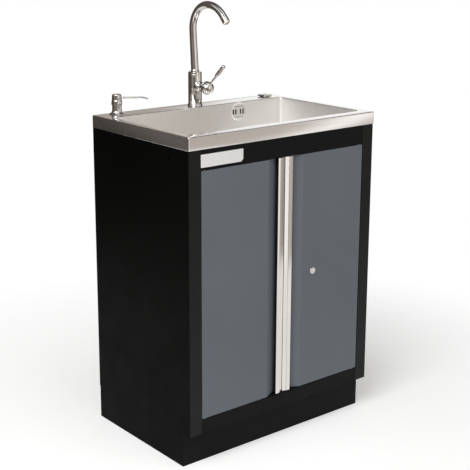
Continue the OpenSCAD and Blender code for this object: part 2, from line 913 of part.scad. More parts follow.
module overflow_housing() {
    y0 = basin_y1 + sink_t;
    w = overflow_wall;
    x0 = waste_x - overflow_w / 2;
    x1 = waste_x + overflow_w / 2;
    z0 = overflow_z - overflow_h / 2;
    z1 = overflow_z + overflow_h / 2;
    color(c_dark) difference() {
        union() {
            block([x0, y0, z0], [x1, y0 + overflow_box_d, z1 - overflow_step_h]);
            block([x0, y0, z0], [x1, y0 + overflow_box_d - overflow_step_d, z1]);
            translate([waste_x, overflow_pipe_y, z0 - spigot_len])
                cylinder(r = overflow_r - overflow_wall, h = spigot_len + 1);
        }
        block([x0 + w, y0 - cut, z0 + w], [x1 - w, y0 + overflow_box_d - w, z1 - overflow_step_h - w]);
        block([x0 + w, y0 - cut, z0 + w], [x1 - w, y0 + overflow_box_d - overflow_step_d - w, z1 - w]);
        translate([waste_x, overflow_pipe_y, z0 - spigot_len - 1])
            cylinder(r = overflow_r - 2 * overflow_wall, h = spigot_len + w + 2);
    }
}

// Wall of a round tube
module tube_wall(r, t) {
    difference() {
        circle(r);
        circle(r - t);
    }
}

port_len = 8;
overflow_seat = 6;
waste_nut_wall = 7;

// Down from the housing, round a bend and forward into the port of the waste body
module overflow_pipe() {
    bend_y = overflow_pipe_y - overflow_bend;
    bend_z = overflow_run_z + overflow_bend;
    port_y = waste_y + sleeve_r + port_len;
    color(c_plastic) translate([waste_x, 0, 0]) {
        translate([0, overflow_pipe_y, bend_z]) linear_extrude(overflow_z - overflow_h / 2 - bend_z)
            tube_wall(overflow_r, overflow_wall);
        yz() translate([bend_y, bend_z]) rotate([0, 0, -90]) rotate_extrude(angle = 90)
            translate([overflow_bend, 0]) tube_wall(overflow_r, overflow_wall);
        translate([0, bend_y, overflow_run_z]) rotate([90, 0, 0]) linear_extrude(bend_y - port_y)
            tube_wall(overflow_r, overflow_wall);
    }
}

module waste_flange() {
    color(c_chrome) translate([waste_x, waste_y, 0]) difference() {
        union() {
            translate([0, 0, basin_floor]) cylinder(r = waste_flange_r, h = flange_t);
            translate([0, 0, basin_floor - sleeve_len]) cylinder(r = sleeve_r, h = sleeve_len);
        }
        translate([0, 0, basin_floor - sleeve_len - 1]) cylinder(r = waste_bore_r, h = sleeve_len + flange_t + 2);
    }
}

// Plastic body under the basin with the overflow port and the guide of the plug's stem
module waste_body() {
    top = basin_under - waste_nut_h;
    port_end = sleeve_r + port_len + overflow_seat;
    color(c_plastic) translate([waste_x, waste_y, 0]) {
        difference() {
            union() {
                translate([0, 0, waste_z0]) cylinder(r = sleeve_r + waste_wall, h = top - waste_z0);
                translate([0, 0, overflow_run_z]) rotate([-90, 0, 0])
                    cylinder(r = overflow_r + overflow_wall, h = port_end);
                translate([0, 0, waste_z0 - trap_tail_len]) cylinder(r = trap_inlet_r, h = trap_tail_len + 1);
            }
            translate([0, 0, basin_floor - sleeve_len]) cylinder(r = sleeve_r, h = sleeve_len);
            translate([0, 0, waste_z0 + pipe_t]) cylinder(r = sleeve_r - 1, h = top - waste_z0);
            translate([0, 0, overflow_run_z]) rotate([-90, 0, 0])
                cylinder(r = overflow_r - overflow_wall, h = port_end + cut);
            translate([0, port_end - overflow_seat, overflow_run_z]) rotate([-90, 0, 0])
                cylinder(r = overflow_r, h = overflow_seat + cut);
            translate([0, 0, waste_z0 - trap_tail_len - cut])
                cylinder(r = trap_inlet_r - pipe_t, h = trap_tail_len + 2 * pipe_t + cut);
        }
        difference() {
            union() {
                translate([0, 0, guide_z]) cylinder(r = guide_r + waste_wall, h = guide_h);
                for (a = [60, 180, 300]) rotate([0, 0, a])
                    block([0, -1, guide_z], [sleeve_r - 0.5, 1, guide_z + guide_h]);
            }
            translate([0, 0, guide_z - cut]) cylinder(r = guide_r + run_gap, h = guide_h + 2 * cut);
        }
    }
}

module waste_nut() {
    nut_r = sleeve_r + waste_nut_wall;
    color(c_plastic) translate([waste_x, waste_y, basin_under - waste_nut_h]) difference() {
        union() {
            cylinder(r = nut_r, h = waste_nut_h);
            for (a = [0 : 45 : 315]) rotate([0, 0, a])
                block([nut_r - nut_rib_h, -3, 0], [nut_r + nut_rib_h, 3, waste_nut_h]);
        }
        translate([0, 0, -cut]) cylinder(r = sleeve_r, h = waste_nut_h + 2 * cut);
    }
}

module waste_plug() {
    color(c_chrome) translate([waste_x, waste_y, 0]) {
        translate([0, 0, basin_floor + flange_t]) rotate_extrude() polygon([
            [0, 0], [plug_rim_r - 1, 0], [plug_rim_r, 1], [plug_rim_r - 2, 2.2], [plug_rim_r * 0.5, 3.6], [0, 4]
        ]);
        translate([0, 0, plug_stem_z]) cylinder(r = guide_r, h = basin_floor + flange_t - plug_stem_z + 1);
        translate([0, 0, basin_floor + flange_t - plug_t]) cylinder(r = plug_r - 2, h = plug_t + 0.5);
    }
}

module trap_body() {
    roof_h = trap_roof_z - trap_z0;
    socket_y = trap_r + pipe_t;
    color(c_plastic) translate([waste_x, waste_y, 0]) difference() {
        union() {
            translate([0, 0, trap_z0]) cylinder(r = trap_r, h = roof_h);
            translate([0, 0, trap_roof_z]) cylinder(r = trap_neck_r, h = trap_neck_h + 2);
            translate([0, 0, trap_nut_z]) cylinder(r = trap_nut_r, h = trap_nut_h);
            translate([0, 0, outlet_z]) rotate([-90, 0, 0])
                cylinder(r = outlet_pipe_r + socket_wall, h = socket_y + socket_len);
        }
        translate([0, 0, trap_z0 - cut]) cylinder(r = trap_r - pipe_t, h = roof_h - pipe_t + cut);
        translate([0, 0, trap_nut_z - trap_neck_h - 2 * pipe_t])
            cylinder(r = trap_inlet_r, h = trap_neck_h + trap_nut_h + 3 * pipe_t);
        translate([0, 0, outlet_z]) rotate([-90, 0, 0])
            cylinder(r = outlet_r - pipe_t, h = socket_y + socket_len + cut);
        translate([0, socket_y, outlet_z]) rotate([-90, 0, 0])
            cylinder(r = outlet_pipe_r, h = socket_len + cut);
    }
}

cup_ribs = 12;
cup_rib_w = 4;
cup_rib_h = 1.5;

module trap_cup() {
    color(c_plastic) translate([waste_x, waste_y, trap_z0 - cup_h]) difference() {
        union() {
            cylinder(r = trap_r - cup_bevel, h = cup_bevel);
            translate([0, 0, cup_bevel]) cylinder(r = trap_r, h = cup_h - cup_bevel);
            for (i = [0 : cup_ribs - 1]) rotate([0, 0, i * 360 / cup_ribs])
                block([trap_r - pipe_t, -cup_rib_w / 2, cup_bevel + 2], [trap_r + cup_rib_h, cup_rib_w / 2, cup_h - 2]);
        }
        translate([0, 0, cup_wall]) cylinder(r = trap_r - cup_bevel - pipe_t, h = cup_h);
        translate([0, 0, cup_wall + cup_bevel]) cylinder(r = trap_r - pipe_t, h = cup_h);
    }
}

// Pipe to the wall: a thicker run from the trap and a plain end for the wall's socket
module outlet_pipe() {
    run = back_y - waste_y - trap_r - pipe_t;
    color(c_plastic) translate([waste_x, waste_y + trap_r + pipe_t, outlet_z]) rotate([-90, 0, 0]) difference() {
        union() {
            cylinder(r = outlet_pipe_r, h = run - outlet_end);
            cylinder(r = outlet_r, h = run);
        }
        translate([0, 0, -cut]) cylinder(r = outlet_r - pipe_t, h = run + 2 * cut);
    }
}

// Pop-up waste control

module waste_knob() {
    color(c_chrome) translate([knob_x, knob_y, 0]) {
        translate([0, 0, deck_z + knob_lift]) linear_extrude(knob_t) round_rect(knob_side, knob_side, 2.5);
        translate([0, 0, deck_under - 14]) cylinder(r = spindle_r, h = 15 + sink_t + knob_lift);
    }
}

gear_port_w = 18;
gear_port_h = 10;
gear_port_len = 8;
gear_port_z = 4;
cable_r = 2.6;
spindle_seat = 14.2;

module knob_gearbox() {
    color(c_dark) translate([knob_x, knob_y, 0]) {
        translate([0, 0, deck_under - gearbox_h]) difference() {
            union() {
                cylinder(r = gearbox_r, h = gearbox_h);
                block([-gear_port_w / 2, -gearbox_r - gear_port_len, gear_port_z],
                      [gear_port_w / 2, -gearbox_r / 2, gear_port_z + gear_port_h]);
            }
            translate([0, 0, gearbox_h - spindle_seat]) cylinder(r = spindle_r + run_gap, h = spindle_seat + cut);
            translate([0, -gearbox_r - gear_port_len - cut, gear_port_z + gear_port_h / 2]) rotate([-90, 0, 0])
                cylinder(r = cable_r, h = gear_port_len + 3);
        }
        translate([0, 0, deck_z]) ring(gearbox_r - 1, spindle_r + run_gap, knob_lift - slip_gap);
    }
}

// Mixer tap

module tap_base_ring() {
    color(c_chrome) translate([0, tap_y, deck_z]) rotate_extrude() polygon([
        [shank_r, 0], [tap_base_r, 0], [tap_base_r, 2.2], [tap_base_r - 0.6, 4.5],
        [tap_body_r + 0.6, base_ring_h], [shank_r, base_ring_h]
    ]);
}

module tap_body() {
    color(c_chrome) difference() {
        union() {
            translate([0, tap_y, deck_z + base_ring_h]) rotate_extrude() polygon([
                [0, 0], [tap_body_r, 0], [tap_body_r, tap_body_h - base_ring_h - 2],
                [tap_body_r - 2, tap_body_h - base_ring_h], [0, tap_body_h - base_ring_h]
            ]);
            rod_y(collar_r, 0, barrel_z, tap_y - tap_body_r - collar_len, tap_y);
            translate([0, tap_y - tap_body_r - collar_len, barrel_z]) rotate([90, 0, 0])
                cylinder(r1 = cone_r, r2 = barrel_r, h = cone_len);
            rod_y(barrel_r, 0, barrel_z, barrel_end_y, tap_y);
        }
        rod_y(barrel_bore_r + run_gap, 0, barrel_z, barrel_end_y - 1, tap_y - 6);
        translate([0, tap_y, spout_foot_z - 1]) cylinder(r = spout_r + run_gap, h = socket_depth + 10);
    }
}

barrel_end_y = dome_y + sqrt(pow(ball_r, 2) - pow(barrel_bore_r, 2)) + slip_gap;

module tap_shank() {
    color(c_brass) translate([0, tap_y, deck_z - shank_len]) difference() {
        cylinder(r = shank_r, h = shank_len + base_ring_h);
        for (s = [-1, 1]) translate([s * inlet_x, 0, -cut]) cylinder(r = inlet_seat_r, h = inlet_seat + cut);
    }
}

module tap_nut() {
    color(c_brass) translate([0, tap_y, deck_under - tap_nut_h - 2]) {
        hex_nut(tap_nut_r - 2, shank_r, tap_nut_h);
        translate([0, 0, tap_nut_h]) ring(tap_nut_r, shank_r, 2);
    }
}

// Tails for the supply hoses, seated in the shank
module tap_inlets() {
    color(c_brass) for (s = [-1, 1])
        translate([s * inlet_x, tap_y, deck_z - shank_len - inlet_len]) difference() {
            union() {
                cylinder(r = inlet_r, h = inlet_len);
                cylinder(r = inlet_seat_r, h = inlet_len + inlet_seat);
            }
            translate([0, 0, -cut]) cylinder(r = inlet_bore_r, h = inlet_len + inlet_seat + 2 * cut);
        }
}

// Spindle that turns in the barrel, with a ball and two trunnions that carry the dome
module mixer_spindle() {
    color(c_chrome) {
        translate([0, dome_y, barrel_z]) sphere(r = ball_r);
        rod_y(barrel_bore_r, 0, barrel_z, dome_y, tap_y - 8);
        translate([-(dome_r - 0.6), dome_y, barrel_z]) rotate([0, 90, 0])
            cylinder(r = trunnion_r, h = 2 * (dome_r - 0.6));
    }
}

// Points its children, drawn along +Z, along the lever
module along_lever() {
    translate([0, dome_y, barrel_z]) rotate([lever_lean, 0, 0]) children();
}

module lever_dome() {
    color(c_chrome) difference() {
        translate([0, dome_y, barrel_z]) sphere(r = dome_r);
        translate([0, dome_y, barrel_z]) sphere(r = dome_r - dome_t);
        translate([0, dome_y - dome_r * cos(dome_cut_angle) + dome_r, barrel_z])
            cube([3 * dome_r, 2 * dome_r, 3 * dome_r], center = true);
        translate([-dome_r - cut, dome_y, barrel_z]) rotate([0, 90, 0])
            cylinder(r = trunnion_r + run_gap, h = 2 * (dome_r + cut));
        along_lever() cylinder(r = lever_r, h = dome_r + cut);
    }
}

module lever_rod() {
    r0 = dome_r - dome_t + slip_gap;
    color(c_chrome) along_lever() translate([0, 0, r0])
        cylinder(r = lever_r, h = lever_len - lever_grip_len + lever_seat - r0);
}

module lever_grip() {
    l = lever_grip_len;
    r = lever_grip_r;
    color(c_chrome) along_lever() translate([0, 0, lever_len - l]) difference() {
        rotate_extrude() polygon([
            [0, 0], [r - 2.2, 0], [r - 1.6, 1.2], [r - 1.4, 5], [r, lever_swell], [r, l - 4], [r - 1.2, l - 1.2],
            [r - 4, l], [0, l]
        ]);
        translate([0, 0, -cut]) cylinder(r = lever_r, h = lever_seat + cut);
    }
}

neck_z = deck_z + tap_body_h + 2;
neck_root = 12;
neck_collar_w = 1.2;

// Frame of the leaning neck: Y and Z turned back by the lean at the neck's foot
module neck_frame() {
    translate([0, tap_y, neck_z]) rotate([-neck_lean, 0, 0]) children();
}

// Neck and bends, in the neck's frame
module gooseneck() {
    rotate_extrude() polygon([
        [neck_foot_r - spout_t, neck_root], [neck_foot_r, neck_root],
        [spout_r, neck_len], [spout_r - spout_t, neck_len]
    ]);
    yz() {
        translate([-rise_r, neck_len]) rotate_extrude(angle = 90)
            translate([rise_r, 0]) tube_wall(spout_r, spout_t);
        translate([-rise_r, neck_len + rise_r - fall_r]) rotate([0, 0, 90]) rotate_extrude(angle = fall_turn)
            translate([fall_r, 0]) tube_wall(spout_r, spout_t);
    }
}

// Upright foot that turns in the tap body, with a collar where the leaning neck grows out of it
module spout_foot() {
    bore_r = spout_r - spout_t;
    collar_z = deck_z + tap_body_h + slip_gap;
    difference() {
        union() {
            translate([0, tap_y, spout_foot_z]) cylinder(r = spout_r, h = neck_z - spout_foot_z);
            translate([0, tap_y, collar_z]) cylinder(r = neck_foot_r + neck_collar_w, h = neck_z + 2.5 - collar_z);
            neck_frame() cylinder(r = neck_foot_r, h = neck_root);
        }
        translate([0, tap_y, spout_foot_z - 1]) cylinder(r = bore_r - 1, h = neck_z - spout_foot_z + 2.4);
        neck_frame() translate([0, 0, 0.4]) cylinder(r = bore_r, h = neck_root);
    }
}

module spout_tube() {
    color(c_chrome) {
        spout_foot();
        neck_frame() gooseneck();
    }
}

module aerator() {
    end_y = -rise_r - fall_r * sin(fall_turn);
    end_z = neck_len + rise_r - fall_r + fall_r * cos(fall_turn);
    color(c_chrome) neck_frame() translate([0, end_y, end_z]) rotate([90 + fall_turn, 0, 0]) difference() {
        cylinder(r = spout_r + 0.4, h = aerator_len);
        translate([0, 0, aerator_len - 3]) cylinder(r = spout_r - 1.6, h = 4);
        translate([0, 0, -1]) cylinder(r = spout_r - 4, h = aerator_len + 2);
    }
}

// Soap dispenser

module at_dispenser(h) {
    translate([disp_x, disp_y, deck_z + h]) children();
}

module dispenser_flange() {
    r = disp_flange_r;
    c = disp_collar_r;
    color(c_chrome) at_dispenser(0) difference() {
        union() {
            rotate_extrude() polygon([
                [0, 0], [r, 0], [r, 1.6], [r - 1.5, 2.8], [r - 4, 3.8], [c + 1.4, 7], [c, 10], [c, collar_h], [0, collar_h]
            ]);
            translate([0, 0, -disp_shank_len]) cylinder(r = disp_shank_r, h = disp_shank_len + 1);
        }
        translate([0, 0, -disp_shank_len - 1]) cylinder(r = cylinder_r, h = disp_shank_len + collar_h + 2);
    }
}

module dispenser_nut() {
    color(c_dark) at_dispenser(-sink_t - disp_nut_h) hex_nut(disp_nut_r, disp_shank_r, disp_nut_h);
}

module soap_bottle() {
    r = bottle_r;
    n = disp_shank_r;
    t = bottle_t;
    neck = bottle_neck;
    color([0.85, 0.88, 0.9, 0.6]) at_dispenser(-disp_shank_len + 6) rotate_extrude() polygon([
        [0, -bottle_h], [r, -bottle_h], [r, -neck - bottle_shoulder], [n + t, -neck], [n + t, 0],
        [n, 0], [n, -neck], [r - t, -neck - bottle_shoulder - 1], [r - t, -bottle_h + t], [0, -bottle_h + t]
    ]);
}

module pump_cylinder() {
    color(c_plastic) at_dispenser(collar_h - cylinder_len) difference() {
        cylinder(r = cylinder_r, h = cylinder_len);
        translate([0, 0, 2]) cylinder(r = cylinder_bore_r, h = cylinder_len - 6);
        translate([0, 0, 2]) cylinder(r = stem_r + run_gap, h = cylinder_len);
        translate([0, 0, -1]) cylinder(r = 2, h = 10);
    }
}

module pump_stem() {
    top = head_top_h - head_roof + 2;
    low = piston_z - deck_z;
    color(c_plastic) at_dispenser(0) {
        translate([0, 0, low]) cylinder(r = stem_r, h = top - low);
        translate([0, 0, low]) cylinder(r = cylinder_bore_r - run_gap, h = piston_t);
    }
}

spring_z0 = deck_z + collar_h - cylinder_len + 2;
spring_h = piston_z - spring_z0;
spring_rings = 84;

// Ring of the spring's wire at turn fraction f, closing up to the end faces
function spring_point(f, a) =
    let (turn = 360 * spring_turns * f, reach = spring_r + spring_wire_r * cos(a))
    [reach * cos(turn), reach * sin(turn),
     spring_wire_r + (spring_h - 2 * spring_wire_r) * f + spring_wire_r * sin(a)];

module pump_spring() {
    sides = 6;
    n = spring_rings;
    pts = [for (i = [0 : n], j = [0 : sides - 1]) spring_point(i / n, 90 + j * 360 / sides)];
    walls = [for (i = [0 : n - 1], j = [0 : sides - 1], k = [0, 1])
        let (a = i * sides + j, b = i * sides + (j + 1) % sides, c = a + sides, d = b + sides)
        k == 0 ? [a, d, b] : [a, c, d]];
    start_cap = [for (j = [1 : sides - 2]) [0, j, j + 1]];
    end_cap = [for (j = [1 : sides - 2]) [n * sides, n * sides + j + 1, n * sides + j]];
    color(c_zinc) translate([disp_x, disp_y, spring_z0])
        polyhedron(points = pts, faces = concat(walls, start_cap, end_cap));
}

module pump_head() {
    h = head_top_h;
    low = head_low_h;
    mid = head_r - head_taper * 0.3;
    color(c_chrome) at_dispenser(0) difference() {
        rotate_extrude() polygon([
            [0, low], [head_r, low], [mid, (low + h) / 2], [head_top_r, h - 2], [head_top_r - 1.6, h], [0, h]
        ]);
        translate([0, 0, low - 1]) cylinder(r = disp_collar_r + head_gap, h = collar_h + pump_travel + 2 - low);
        difference() {
            translate([0, 0, low]) cylinder(r = head_top_r - head_wall, h = h - low - head_roof);
            translate([0, 0, collar_h + pump_travel + 1]) cylinder(r = stem_r + 3, h = h);
        }
        translate([0, 0, low]) cylinder(r = stem_r + run_gap, h = h - low - head_roof + 2);
        rotate([0, 0, -nozzle_turn]) translate([head_top_r - head_wall - 1, 0, nozzle_h]) rotate([0, 90, 0])
            cylinder(r = nozzle_r, h = 20);
    }
}

nozzle_droop = 25;
nozzle_bend_r = 50;
nozzle_t = 0.8;

// Straight tube that curves down to its tip
module pump_nozzle() {
    x0 = head_top_r - head_wall;
    bend_x = nozzle_len - nozzle_bend_r * sin(nozzle_droop);
    color(c_chrome) at_dispenser(nozzle_h) rotate([0, 0, -nozzle_turn]) {
        translate([x0, 0, 0]) rotate([0, 90, 0]) linear_extrude(bend_x - x0) tube_wall(nozzle_r, nozzle_t);
        translate([bend_x, 0, -nozzle_bend_r]) rotate([-90, 0, 0]) rotate([0, 0, -90])
            rotate_extrude(angle = nozzle_droop) translate([nozzle_bend_r, 0]) tube_wall(nozzle_r, nozzle_t);
    }
}

side_panel_left();
side_panel_right();
back_panel();
bottom_panel();
top_rail();
bottom_rail();
plinth_front();
plinth_rear();
plinth_sides();
plinth_brackets();
levelling_feet();
hinge_pins();
magnet_catches();
blank_nameplate();
left_door_skin();
left_door_inner();
left_door_grip();
left_door_bushes();
right_door_skin();
right_door_inner();
right_door_grip();
right_door_bushes();
lock_housing();
lock_core();
lock_pinion();
upper_lock_rod();
lower_lock_rod();
sink_deck();
sink_basin();
overflow_housing();
overflow_pipe();
waste_flange();
waste_body();
waste_nut();
waste_plug();
trap_body();
trap_cup();
outlet_pipe();
waste_knob();
knob_gearbox();
tap_base_ring();
tap_body();
tap_shank();
tap_nut();
tap_inlets();
mixer_spindle();
lever_dome();
lever_rod();
lever_grip();
spout_tube();
aerator();
dispenser_flange();
dispenser_nut();
soap_bottle();
pump_cylinder();
pump_spring();
pump_stem();
pump_head();
pump_nozzle();
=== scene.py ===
"""Sink base cabinet: the visual model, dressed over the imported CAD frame.

Lengths in the tables below are millimetres; what Blender holds is metres.
"""
import json
import math

import bmesh
import bpy
from mathutils import Matrix, Vector

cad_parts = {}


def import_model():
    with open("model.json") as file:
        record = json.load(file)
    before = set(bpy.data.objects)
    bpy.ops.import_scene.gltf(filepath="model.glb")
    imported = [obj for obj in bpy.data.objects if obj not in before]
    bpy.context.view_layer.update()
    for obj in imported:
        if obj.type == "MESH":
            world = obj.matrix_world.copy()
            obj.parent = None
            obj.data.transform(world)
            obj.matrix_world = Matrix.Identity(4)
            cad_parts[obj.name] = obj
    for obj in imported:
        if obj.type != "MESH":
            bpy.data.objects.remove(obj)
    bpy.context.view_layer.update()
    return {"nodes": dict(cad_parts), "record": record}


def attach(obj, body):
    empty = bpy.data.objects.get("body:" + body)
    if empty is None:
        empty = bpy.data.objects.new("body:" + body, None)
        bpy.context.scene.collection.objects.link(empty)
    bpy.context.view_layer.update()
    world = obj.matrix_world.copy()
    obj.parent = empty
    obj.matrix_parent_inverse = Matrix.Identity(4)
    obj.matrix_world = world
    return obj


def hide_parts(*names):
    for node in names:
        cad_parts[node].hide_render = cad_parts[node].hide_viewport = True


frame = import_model()
nodes = frame["nodes"]

MM = 0.001

# Sizes of the CAD model that the pieces below share
DECK_X, DECK_Y, DECK_Z = 341.5, 230.25, 936
TAP_Y = 189.25
TAP_BODY_H = 103.5
DOME_Y = 129.25
BARREL_Z = 996
LEVER_LEAN = 48
NECK_Z = 1041.5
NECK_LEN, RISE_R, FALL_R = 121, 74, 95
NECK_LEAN = 4.2
FALL_END = 143
WASTE = (144, -17)
DISP = (-275, 201.25)
KNOB = (288.5, 199.25)
LOCK = (107.9, -227.75, 493)
BASIN_X = 317.5
BASIN_Y = (-190.25, 156.25)
BASIN_FLOOR = 736
OVERFLOW_Z = 906.5
DISH_R = 28.6

CORNER_STEPS = 8


# Node helpers for materials and the world

def shader(name):
    m = bpy.data.materials.new(name)
    m.use_nodes = True
    tree = m.node_tree
    return m, tree, tree.nodes["Principled BSDF"]


def add(tree, kind, **values):
    n = tree.nodes.new(kind)
    for key, v in values.items():
        setattr(n, key, v)
    return n


def coords(tree, scale=(1, 1, 1)):
    """Object coordinates in metres, stretched per axis."""
    tc = add(tree, "ShaderNodeTexCoord")
    mp = add(tree, "ShaderNodeMapping")
    mp.inputs["Scale"].default_value = scale
    tree.links.new(tc.outputs["Object"], mp.inputs["Vector"])
    return mp.outputs["Vector"]


def noise(tree, vector, scale, detail=3.0, rough=0.5):
    n = add(tree, "ShaderNodeTexNoise")
    n.inputs["Scale"].default_value = scale
    n.inputs["Detail"].default_value = detail
    n.inputs["Roughness"].default_value = rough
    tree.links.new(vector, n.inputs["Vector"])
    return n.outputs["Fac"]


def ramp(tree, fac, stops):
    r = add(tree, "ShaderNodeValToRGB")
    els = r.color_ramp.elements
    while len(els) < len(stops):
        els.new(0.5)
    for e, (p, c) in zip(els, stops):
        e.position = p
        e.color = (c[0], c[1], c[2], 1) if isinstance(c, tuple) else (c, c, c, 1)
    tree.links.new(fac, r.inputs["Fac"])
    return r.outputs["Color"]


def mapped(tree, fac, low, high, a=0.0, b=1.0):
    n = add(tree, "ShaderNodeMapRange")
    n.inputs["From Min"].default_value = a
    n.inputs["From Max"].default_value = b
    n.inputs["To Min"].default_value = low
    n.inputs["To Max"].default_value = high
    tree.links.new(fac, n.inputs["Value"])
    return n.outputs["Result"]


def bump(tree, height, strength, distance):
    b = add(tree, "ShaderNodeBump")
    b.inputs["Strength"].default_value = strength
    b.inputs["Distance"].default_value = distance
    tree.links.new(height, b.inputs["Height"])
    return b.outputs["Normal"]


def maths(tree, operation, *values):
    """Math node; each value is a number or another node's output."""
    n = add(tree, "ShaderNodeMath", operation=operation)
    for socket, v in zip(n.inputs, values):
        if isinstance(v, (int, float)):
            socket.default_value = v
        else:
            tree.links.new(v, socket)
    return n.outputs[0]


def xyz(tree, vector):
    """The three parts of a vector."""
    n = add(tree, "ShaderNodeSeparateXYZ")
    tree.links.new(vector, n.inputs[0])
    return n.outputs["X"], n.outputs["Y"], n.outputs["Z"]


def dot(tree, vector, direction):
    """How far a vector points along a fixed direction."""
    n = add(tree, "ShaderNodeVectorMath", operation="DOT_PRODUCT")
    tree.links.new(vector, n.inputs[0])
    n.inputs[1].default_value = direction
    return n.outputs["Value"]


def mixed(tree, factor, a, b):
    """Colour a where the factor is 0 and b where it is 1; each is a colour or another node's output."""
    n = add(tree, "ShaderNodeMix", data_type="RGBA")
    tree.links.new(factor, n.inputs["Factor"])
    for key, c in (("A", a), ("B", b)):
        if isinstance(c, tuple):
            n.inputs[key].default_value = (*c, 1)
        else:
            tree.links.new(c, n.inputs[key])
    return n.outputs["Result"]


def either(tree, factor, a, b):
    """Shader a where the factor is 0 and b where it is 1."""
    n = add(tree, "ShaderNodeMixShader")
    tree.links.new(factor, n.inputs["Fac"])
    tree.links.new(a, n.inputs[1])
    tree.links.new(b, n.inputs[2])
    return n.outputs[0]


def paint(name, low, high, rough, specular, grain=900, texture=0.12):
    """Powder coat: fine orange peel, slow colour drift and uneven gloss."""
    m, t, p = shader(name)
    v = coords(t)
    t.links.new(ramp(t, noise(t, v, 3.5, 4), [(0.35, low), (0.68, high)]), p.inputs["Base Color"])
    t.links.new(mapped(t, noise(t, v, 14, 5), rough[0], rough[1], 0.3, 0.7), p.inputs["Roughness"])
    t.links.new(bump(t, noise(t, v, grain, 2), texture, 0.0004), p.inputs["Normal"])
    p.inputs["Specular IOR Level"].default_value = specular
    return m


def brushed(name, low, high, along, rough, aniso, depth=0.05):
    """Satin metal brushed along one axis: long fine scratches in tone and height, and in gloss unless rough is None."""
    m, t, p = shader(name)
    stretch = [900, 900, 900]
    stretch["XYZ".index(along)] = 9
    fine = noise(t, coords(t, tuple(stretch)), 1.0, 3)
    stretch = [60, 60, 60]
    stretch["XYZ".index(along)] = 2.5
    wide = noise(t, coords(t, tuple(stretch)), 1.0, 3)
    streaks = maths(t, "MULTIPLY_ADD", fine, 0.35, wide)
    t.links.new(ramp(t, streaks, [(0.45, low), (0.95, high)]), p.inputs["Base Color"])
    if rough:
        cloud = noise(t, coords(t), 5.0, 3)
        gloss = maths(t, "MULTIPLY_ADD", cloud, 0.6, fine)
        t.links.new(mapped(t, gloss, rough[0], rough[1], 0.5, 1.1), p.inputs["Roughness"])
    t.links.new(bump(t, fine, depth, 0.0003), p.inputs["Normal"])
    p.inputs["Metallic"].default_value = 1.0
    p.inputs["Anisotropic"].default_value = aniso
    return m


def basin_metal():
    """The basin's steel: satin, and duller towards the right end."""
    m = brushed("stainless_basin", (0.945, 0.925, 0.90), (0.965, 0.95, 0.935), "Z", None, 0.0, 0.012)
    t = m.node_tree
    x, _, _ = xyz(t, coords(t))
    dull = mapped(t, x, 0.285, 0.46, 0.03, 0.27)
    dull.node.interpolation_type = "SMOOTHSTEP"
    t.links.new(dull, t.nodes["Principled BSDF"].inputs["Roughness"])
    return m


def polished(name, low, high, rough):
    """Chrome plate: a slow waviness, faint water marks and a little haze."""
    m, t, p = shader(name)
    v = coords(t)
    t.links.new(ramp(t, noise(t, v, 22, 3), [(0.35, low), (0.7, high)]), p.inputs["Base Color"])
    t.links.new(mapped(t, noise(t, v, 70, 5), rough[0], rough[1], 0.35, 0.7), p.inputs["Roughness"])
    t.links.new(bump(t, noise(t, v, 35, 2), 0.03, 0.001), p.inputs["Normal"])
    p.inputs["Metallic"].default_value = 1.0
    return m


def plastic(name, low, high, rough=(0.35, 0.5), alpha=1.0):
    """Moulded plastic: a fine spark-eroded grain and slight tone changes."""
    m, t, p = shader(name)
    v = coords(t)
    t.links.new(ramp(t, noise(t, v, 12, 3), [(0.35, low), (0.7, high)]), p.inputs["Base Color"])
    t.links.new(mapped(t, noise(t, v, 60, 3), rough[0], rough[1], 0.3, 0.7), p.inputs["Roughness"])
    t.links.new(bump(t, noise(t, v, 1500, 2), 0.08, 0.0003), p.inputs["Normal"])
    p.inputs["Alpha"].default_value = alpha
    return m


FRAME_PAINT = paint("frame_powder_coat", (0.0052, 0.0054, 0.0056), (0.0068, 0.0070, 0.0073), (0.46, 0.56), 0.08)
DOOR_PAINT = paint("door_powder_coat", (0.121, 0.137, 0.156), (0.132, 0.149, 0.169), (0.42, 0.52), 0.25)


def folded_paint_with_painted_fill():
    """The carcass coat: matt on the sides, more sheen on the folds in front, and painted fill light, a paler colour on
    faces turned away from the key lamp, inside and behind.
    """
    m = paint("side_powder_coat_painted_fill", (0.0014, 0.0013, 0.0011), (0.0020, 0.0019, 0.0016), (0.46, 0.56), 0.04)
    t = m.node_tree
    p = t.nodes["Principled BSDF"]
    normal = add(t, "ShaderNodeTexCoord").outputs["Normal"]
    _, y, _ = xyz(t, normal)
    t.links.new(mapped(t, y, 0.04, 0.25, -0.7, -0.98), p.inputs["Specular IOR Level"])
    # Painted fill light: faces turned away from the key lamp, where its light doesn't reach, get a paler colour
    painted_fill_light = mapped(t, dot(t, normal, (0.8, 0.6, 0.0)), 0.0, 1.0, -0.4, -0.1)
    coat = p.inputs["Base Color"].links[0].from_socket
    t.links.new(mixed(t, painted_fill_light, coat, (0.0150, 0.0150, 0.0148)), p.inputs["Base Color"])
    return m


SIDE_PAINT_WITH_PAINTED_FILL = folded_paint_with_painted_fill()
PLATE_WHITE = paint("plate_enamel", (0.74, 0.74, 0.735), (0.79, 0.79, 0.785), (0.25, 0.32), 0.4, 500, 0.03)
STEEL_X = brushed("stainless_brushed_x", (0.77, 0.745, 0.715), (0.87, 0.855, 0.84), "X", (0.15, 0.22), 0.1)
BASIN_STEEL = basin_metal()
STEEL_Z = brushed("stainless_brushed_z", (0.56, 0.53, 0.50), (0.72, 0.70, 0.67), "Z", (0.2, 0.32), 0.3)
ALUMINIUM = brushed("aluminium_brushed_z", (0.66, 0.62, 0.58), (0.80, 0.77, 0.74), "Z", (0.11, 0.17), 0.0)
CHROME = polished("chrome", (0.66, 0.63, 0.60), (0.76, 0.735, 0.71), (0.035, 0.08))
SATIN = polished("satin_steel", (0.64, 0.62, 0.60), (0.68, 0.66, 0.64), (0.13, 0.17))
ZINC = brushed("zinc_plate", (0.50, 0.51, 0.50), (0.66, 0.67, 0.65), "X", (0.32, 0.45), 0.1)
